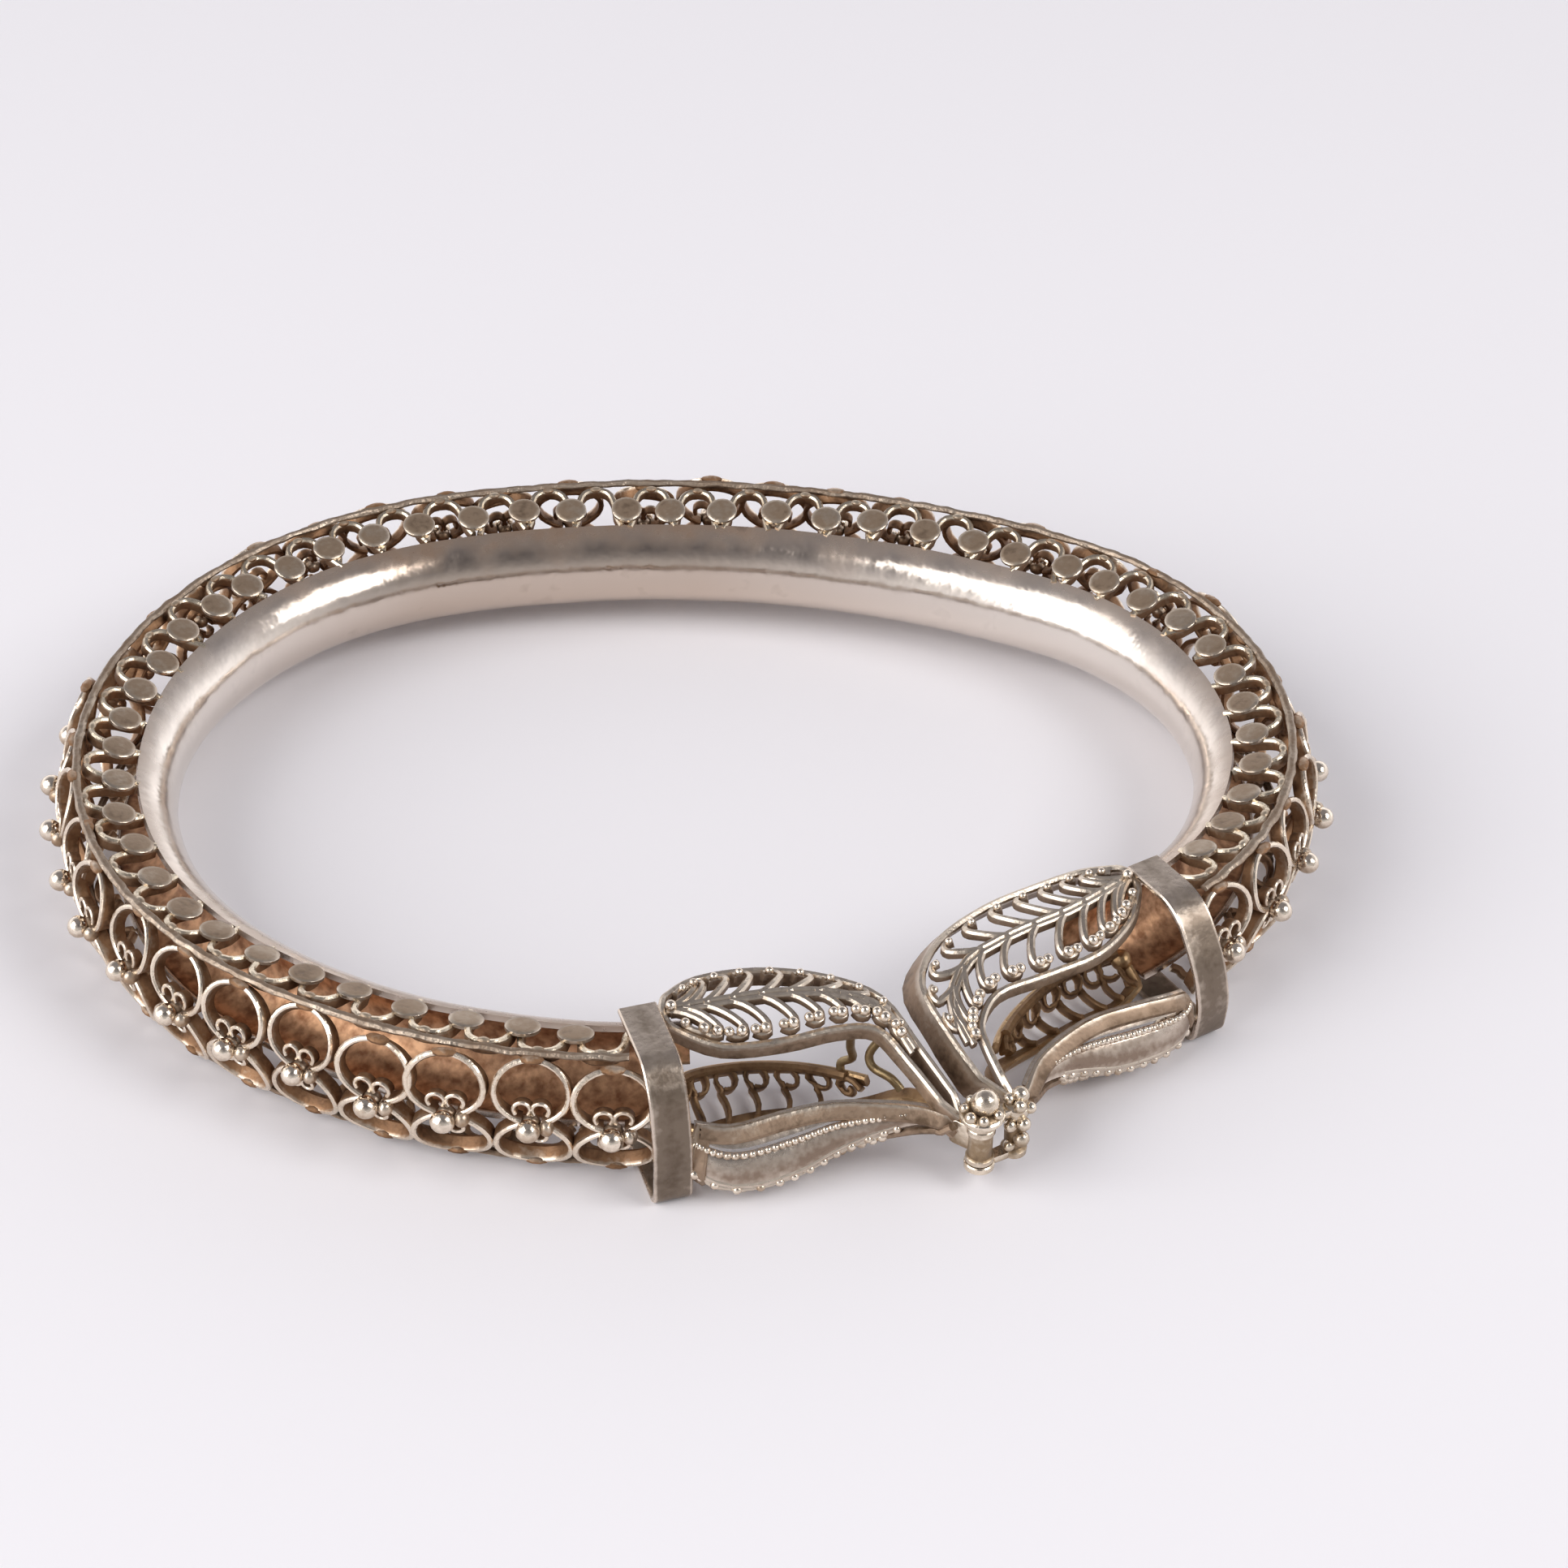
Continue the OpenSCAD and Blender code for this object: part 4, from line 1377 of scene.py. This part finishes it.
@dataclass
class Braces:
    """Two bent wires that hold the left end's leaves apart."""

    radius: float = 0.3
    near: tuple[Point, ...] = ((-7.3, -29.6, 7.4), (-7.1, -29.5, 6.8), (-6.8, -29.0, 5.2), (-6.4, -28.6, 3.8),
                               (-6.9, -28.0, 3.1), (-7.0, -28.2, 2.4))
    far: tuple[Point, ...] = ((-5.3, -30.3, 7.2), (-5.2, -30.2, 6.4), (-5.9, -30.0, 5.1), (-5.9, -30.5, 4.3),
                              (-5.2, -31.7, 4.0), (-4.8, -32.4, 3.4))

    def build(self, shop: Workshop) -> None:
        """Bends both wires.

        Args:
            shop: the workshop.
        """
        for name, path in (("near_brace", self.near), ("far_brace", self.far)):
            work = Metalwork()
            work.wire(smooth(path, 5) + SHIFT, self.radius, 0.35, 10)
            shop.hand_over(work.mesh(f"{name}_wire"), Metal.BRACE, "ring", "brace", name)


@dataclass
class Clasp:
    """Tube, post with eyes, and the headed pin that closes the ring."""

    pin: Plan = (-2.5, -38.9)
    post: Plan = (0.2, -38.7)
    left_lug: Plan = (-3.4, -37.3)
    right_lug: Plan = (0.9, -37.2)
    pin_r: float = 0.45
    bore_r: float = 0.5
    tube_r: float = 0.95
    eye_r: float = 1.02
    lower_eye: float = 1.1
    eye_t: float = 0.6
    tube_len: float = 3.0
    gap: float = 0.05
    head_r: float = 1.5
    head_t: float = 0.5
    head_edge: float = 0.12
    edge: float = 0.08
    bar_edge: float = 0.06

    def __post_init__(self) -> None:
        """Works out the heights of the tube's foot and top, of the upper eye and of the head."""
        self.foot = self.lower_eye + self.eye_t + self.gap
        self.top = self.foot + self.tube_len
        self.upper_eye = self.top + self.gap
        self.head = self.upper_eye + self.eye_t + self.gap
        self.pin_axis, self.post_axis = np.array([*self.pin, 0]) + SHIFT, np.array([*self.post, 0]) + SHIFT

    def bar(self, work: Metalwork, a: Plan, b: Plan, ra: float, rb: float, low: float, high: float) -> None:
        """Adds a flat link between two places, rounded at its ends.

        Args:
            work: the work.
            a: one place in plan.
            b: the other place.
            ra: its radius round the first.
            rb: its radius round the second.
            low: height of its underside.
            high: height of its top.
        """
        p, q, bevel = np.array(a), np.array(b), self.bar_edge
        run = unit(q - p)
        side = np.array([-run[1], run[0]])
        spots = [centre + r * (math.cos(t) * run + math.sin(t) * side)
                 for centre, r, start in ((p, ra, math.pi / 2), (q, rb, -math.pi / 2))
                 for t in (start + math.pi * k / 6 for k in range(7))]
        rings = [[np.append(s + unit((p + q) / 2 - s) * inset, z) + SHIFT for s in spots]
                 for z, inset in ((low, bevel), (low + bevel, 0.0), (high - bevel, 0.0), (high, bevel))]
        work.loft(np.array(rings), np.array([[0.3], [0.5], [0.85], [0.95]]))

    def left(self) -> Metalwork:
        """Makes the tube, with its link to the left leaves.

        Returns:
            The work.
        """
        work, r, b, e, foot, top = Metalwork(), self.tube_r, self.bore_r, self.edge, self.foot, self.top
        neck = r - 0.14
        work.turned(self.pin_axis, [
            (b, foot, 0.2), (r - e, foot, 0.5), (r, foot + e, 0.9), (r, foot + 0.4, 0.8),
            (neck, foot + 0.52, 0.3), (neck, top - 0.6, 0.45), (r, top - 0.48, 0.8), (r, top - e, 0.9),
            (r - e, top, 0.9), (b, top, 0.5)], True)
        root = (self.pin[0] - 0.35, self.pin[1] + 0.62)
        self.bar(work, root, self.left_lug, 0.45, 0.45, foot + 0.8, top - 0.2)
        return work

    def right(self) -> Metalwork:
        """Makes the post, with its two eyes, its link to the right leaves and its granules.

        Returns:
            The work.
        """
        work, r, b, e, low, head = Metalwork(), self.eye_r, self.bore_r, self.edge, self.lower_eye, self.head
        work.turned(self.post_axis, [
            (0.62, low, 0.3), (0.86, low + 0.1, 0.7), (0.88, low + 0.5, 0.6), (0.66, low + 0.75, 0.2),
            (0.70, low + 2.2, 0.3), (0.66, head - 1.2, 0.25), (0.86, head - 0.8, 0.6), (0.88, head - 0.15, 0.8),
            (0.7, head, 0.6)])
        for z, t in ((low + self.gap, self.eye_t - self.gap), (self.upper_eye, self.eye_t)):
            work.turned(self.pin_axis, [(b, z, 0.2), (r - e, z, 0.4), (r, z + e, 0.8), (r, z + t - e, 0.9),
                                         (r - e, z + t, 0.9), (b, z + t, 0.5)], True)
            root = (self.pin[0] + 0.95, self.pin[1] + 0.08)
            self.bar(work, root, self.post, 0.42, 0.5, z + 0.02, z + t - 0.02)
        self.bar(work, self.post, self.right_lug, 0.5, 0.45, self.foot + 0.8, self.top - 0.2)
        for x, y, z, size in ((0.35, 0.15, 0.4, 0.6), (-0.4, 0.3, 0.2, 0.42), (-0.1, -0.6, 0.15, 0.45),
                              (0.75, -0.5, -0.35, 0.42), (-0.72, -0.55, -1.3, 0.45), (0.05, -0.95, -1.15, 0.48),
                              (0.0, -0.85, -2.5, 0.55), (-0.7, -0.5, -3.1, 0.4)):
            work.ball(np.array([self.post[0] + x, self.post[1] + y, head + z]) + SHIFT, size, 8, 0.65)
        return work

    def headed_pin(self) -> Metalwork:
        """Makes the pin, with its flat head and the granules on it.

        Returns:
            The work.
        """
        work, r, e, low, head = Metalwork(), self.pin_r, self.head_edge, self.lower_eye, self.head
        work.turned(self.pin_axis, [(r * 0.4, low - 0.3, 0.4), (r, low - 0.1, 0.7), (r, head + 0.1, 0.5),
                                     (r * 0.4, head + 0.12, 0.2)])
        r, top = self.head_r, head + self.head_t
        work.turned(self.pin_axis, [(r - e, head, 0.3), (r, head + e, 0.8), (r, top - e, 0.95), (r - e, top, 0.8),
                                     (r * 0.4, top + 0.03, 0.2)], sides=28)
        centre = np.array([*self.pin, top]) + SHIFT
        work.ball(centre + (0.25, 0.1, 0.55), 0.95, 12, 0.75)
        for turn, size in ((200, 0.42), (245, 0.36), (150, 0.36), (305, 0.34), (100, 0.34)):
            a = math.radians(turn)
            work.ball(centre + (1.15 * math.cos(a), 1.15 * math.sin(a), 0.15), size, 8, 0.7)
        return work

    def build(self, shop: Workshop) -> None:
        """Makes the three pieces.

        Args:
            shop: the workshop.
        """
        for work, name, body, node in ((self.left(), "left_knuckle_tube", "ring", "left_knuckle"),
                                       (self.right(), "right_knuckle_post", "ring", "right_knuckle"),
                                       (self.headed_pin(), "headed_pin", "pin", "closing_pin")):
            shop.hand_over(work.mesh(name), Metal.CLASP, body, "clasp", node)


LEFT_TOP: tuple[Row, ...] = (
    (-17.9, -25.2, 8.5, -17.2, -22.7, 8.9, 0.3), (-15.6, -27.7, 8.0, -14.6, -21.8, 8.7, 0.9),
    (-11.9, -29.2, 8.2, -10.6, -22.8, 8.7, 1.1), (-8.4, -29.9, 8.4, -7.0, -25.4, 8.8, 0.9),
    (-5.9, -31.0, 8.2, -4.4, -28.7, 8.5, 0.5), (-4.9, -33.6, 7.0, -3.7, -32.8, 7.1, 0.2),
    (-4.2, -36.8, 5.8, -3.1, -36.4, 5.7, 0.1))
LEFT_OUTER: tuple[Row, ...] = (
    (-18.6, -29.6, 0.3, -18.8, -30.4, 4.6, 2.3), (-16.5, -30.1, -0.3, -16.8, -31.6, 4.5, 3.3),
    (-13.0, -30.7, -0.1, -13.4, -32.1, 4.7, 3.4), (-9.8, -31.8, 0.7, -10.2, -32.8, 4.8, 2.6),
    (-6.9, -33.6, 2.0, -7.2, -34.3, 4.8, 1.5), (-5.0, -35.3, 2.8, -5.2, -35.6, 4.8, 0.8),
    (-3.8, -36.7, 3.0, -3.9, -37.0, 4.8, 0.4))
LEFT_INNER: tuple[Row, ...] = (
    (-18.0, -24.2, 2.6, -18.7, -27.0, 1.0, 0.4), (-15.6, -23.4, 2.2, -16.1, -27.6, 0.1, 1.2),
    (-12.2, -24.0, 2.0, -12.6, -28.1, 0.1, 1.4), (-9.0, -25.8, 2.1, -9.2, -29.3, 0.3, 1.2),
    (-6.4, -28.8, 2.6, -6.6, -31.1, 1.3, 0.6), (-4.8, -32.2, 3.4, -4.9, -33.0, 2.7, 0.2),
    (-3.3, -35.6, 4.1, -3.5, -36.1, 3.5, 0.1))
RIGHT_TOP: tuple[Row, ...] = (
    (16.4, -27.0, 8.6, 16.1, -24.6, 8.9, 0.3), (14.3, -29.2, 8.3, 13.9, -23.6, 8.6, 0.7),
    (10.9, -30.8, 8.1, 10.4, -23.5, 8.5, 0.9), (6.6, -31.1, 8.1, 6.2, -24.0, 8.6, 0.9),
    (2.9, -31.3, 8.1, 1.8, -25.5, 8.5, 0.7), (0.8, -32.9, 7.5, -1.2, -28.6, 8.3, 0.4),
    (0.4, -34.6, 6.8, -1.4, -32.9, 7.2, 0.2), (0.4, -36.6, 5.8, -0.9, -36.0, 6.0, 0.1))
RIGHT_OUTER: tuple[Row, ...] = (
    (16.4, -31.3, 1.2, 16.4, -33.3, 4.4, 1.4), (14.9, -31.6, -0.1, 15.0, -33.7, 4.9, 2.6),
    (12.0, -31.9, -0.1, 12.2, -33.5, 5.0, 3.1), (8.8, -32.3, 0.2, 9.0, -33.6, 5.2, 2.9),
    (5.8, -33.6, 1.4, 6.0, -34.4, 5.2, 1.9), (3.5, -35.1, 2.6, 3.7, -35.4, 5.0, 1.2),
    (1.7, -36.8, 3.2, 1.8, -37.1, 4.8, 0.4))
RIGHT_INNER: tuple[Row, ...] = (
    (16.0, -25.6, 2.3, 16.3, -28.6, 1.1, 0.4), (14.0, -25.2, 1.9, 14.3, -29.1, 0.3, 1.2),
    (10.8, -25.6, 1.8, 11.0, -29.4, 0.3, 1.4), (7.2, -27.3, 1.9, 7.2, -30.4, 0.5, 1.2),
    (4.2, -29.8, 2.5, 4.2, -31.9, 1.5, 0.6), (2.0, -33.1, 3.5, 2.1, -33.8, 2.9, 0.2),
    (0.8, -35.7, 4.2, 1.0, -36.2, 3.6, 0.1))


@dataclass
class LanternEnds:
    """The two ends: a collar and three leaves each."""

    right_shape: tuple[Point, ...] = ((-9, -0.5, 1), (3.9, -0.5, 1.3), (4.3, 2.8, 5), (3.5, 5.6, 8),
                                      (0.6, 9.5, 3.6), (-9, 9.1, 1))
    left_shape: tuple[Point, ...] = ((-9, -0.5, 1), (3.7, -0.5, 1.2), (3.9, 4, 8), (2.7, 8.2, 3), (1, 9.9, 2.2),
                                     (-9, 9.5, 1))
    petals: tuple[Petal, ...] = (
        Petal("left_top_petal", 1, LEFT_TOP, Leaf.FERN, 10, last=4.25, rim_depth=1.3, far_depth=1.5,
              tip=(-3.3, -37.7, 4.9)),
        Petal("left_outer_petal", 1, LEFT_OUTER, Leaf.BANDED, rim_depth=1.4, tip=(-3.1, -37.4, 3.9)),
        Petal("left_inner_petal", 1, LEFT_INNER, Leaf.COMMAS, 6, 0.35, 3.15, 0.9),
        Petal("right_top_petal", -1, RIGHT_TOP, Leaf.FERN, 11, last=5.35, rim_depth=1.1, far_depth=2.4,
              far_lean=0.6, tip=(0.6, -37.7, 4.9)),
        Petal("right_outer_petal", -1, RIGHT_OUTER, Leaf.BANDED, rim_depth=1.4, tip=(0.8, -37.5, 3.9)),
        Petal("right_inner_petal", -1, RIGHT_INNER, Leaf.COMMAS, 6, 0.35, 3.15, 0.9))

    def build(self, shop: Workshop) -> None:
        """Makes the collars and the leaves.

        Args:
            shop: the workshop.
        """
        Collar("right_collar", RAILS.start, 4.5, self.right_shape).build(shop)
        Collar("left_collar", tuple(RAILS.at(RAILS.length())), -10.0, self.left_shape).build(shop)
        for petal in self.petals:
            petal.build(shop)


# ---------------------------------------------------------------- studio


@dataclass
class Studio:
    """Pale floor, soft lights and the camera."""

    lens: float = 83.85
    sensor: float = 36.0
    place: Point = (-91.39, -185.03, 167.38)
    azimuth: float = -28.0
    elevation: float = 38.0
    roll: float = -0.018
    floor_size: float = 3.0
    floor_colour: tuple[float, ...] = (0.90, 0.88, 0.91, 1)
    light_colour: Point = (1.0, 0.99, 0.98)
    horizon: tuple[float, ...] = (0.55, 0.545, 0.56, 1)
    zenith: tuple[float, ...] = (0.22, 0.215, 0.235, 1)
    front: float = 0.4
    front_span: Plan = (-0.85, -0.05)
    low_band: float = 2.6
    low_span: Plan = (0.14, 0.75)
    grey_span: Plan = (0.25, 0.75)

    def floor(self) -> None:
        """Lays the floor."""
        data = bpy.data.meshes.new("floor")
        s = self.floor_size / 2
        data.from_pydata([(-s, -s, 0), (s, -s, 0), (s, s, 0), (-s, s, 0)], [], [(0, 1, 2, 3)])
        material, graph, shader = Paintbox.blank("pale_floor")
        graph.feed(shader, {"Base Color": self.floor_colour, "Roughness": 0.85})
        data.materials.append(material)
        floor = put("floor", data)

    def light(self, name: str, place: Point, size: Plan, power: float) -> None:
        """Hangs a soft light that looks at the ring.

        Args:
            name: its name.
            place: where it hangs, in metres.
            size: its width and height.
            power: its power in watts.
        """
        data = bpy.data.lights.new(name, "AREA")
        data.shape, data.size, data.size_y = "RECTANGLE", *size
        data.energy, data.color = power, self.light_colour
        lamp = put(name, data)
        lamp.location = place
        lamp.rotation_euler = (-Vector(place)).to_track_quat("-Z", "Y").to_euler()

    def camera(self) -> None:
        """Sets the camera at the photograph's angle."""
        data = bpy.data.cameras.new("camera")
        data.lens, data.sensor_width, data.sensor_fit = self.lens, self.sensor, "HORIZONTAL"
        data.clip_start, data.clip_end = 0.01, 10
        cam = put("camera", data)
        e, c, s = math.radians(self.elevation), math.cos(self.roll), math.sin(self.roll)
        right, up = np.array([1, 0, 0]), np.array([0, math.sin(e), math.cos(e)])
        columns = [c * right - s * up, s * right + c * up, (0, -math.cos(e), math.sin(e))]
        turn = Matrix.Rotation(math.radians(self.azimuth), 3, "Z")
        basis = Matrix([turn @ Vector(v) for v in columns]).transposed()
        cam.matrix_world = Matrix.Translation(Vector(self.place) * MM) @ basis.to_4x4()
        bpy.context.scene.camera = cam

    def room(self) -> None:
        """Soft grey room, light near its horizon and darker overhead, which the silver reflects."""
        world = bpy.data.worlds.new("studio")
        world.use_nodes = True
        graph = Graph(world.node_tree)
        generated = graph.add("ShaderNodeTexCoord").outputs["Generated"]
        way = graph.add("ShaderNodeSeparateXYZ", {0: generated}).outputs
        front = graph.spread(way["Y"], self.front_span, (self.front, 1.0))
        low = graph.spread(way["Z"], self.low_span, (self.low_band, 1.0))
        grey = graph.blend(graph.spread(way["Z"], self.grey_span), self.horizon, self.zenith)
        back = world.node_tree.nodes["Background"]
        graph.feed(back, {"Color": grey, "Strength": graph.math("MULTIPLY", front, low)})
        bpy.context.scene.world = world

    def build(self) -> None:
        """Sets up the studio."""
        self.floor()
        self.light("left", (-0.78, 0.02, 0.50), (0.82, 0.87), 6.6)
        self.light("right", (0.48, -0.56, 0.67), (0.53, 0.48), 4.3)
        bpy.context.scene.view_settings.view_transform = "Standard"
        self.room()
        self.camera()


def main() -> None:
    """Builds the ring's sub-assemblies in order, then the studio."""
    logging.basicConfig(level=logging.INFO, format="%(name)s: %(message)s")
    shop = Workshop()
    for part in (InnerWall(), Rails(), OuterBand(), Galleries(), LanternEnds(), Braces(), Clasp()):
        part.build(shop)
    shop.clear()
    Studio().build()


if __name__ == "__main__":
    main()
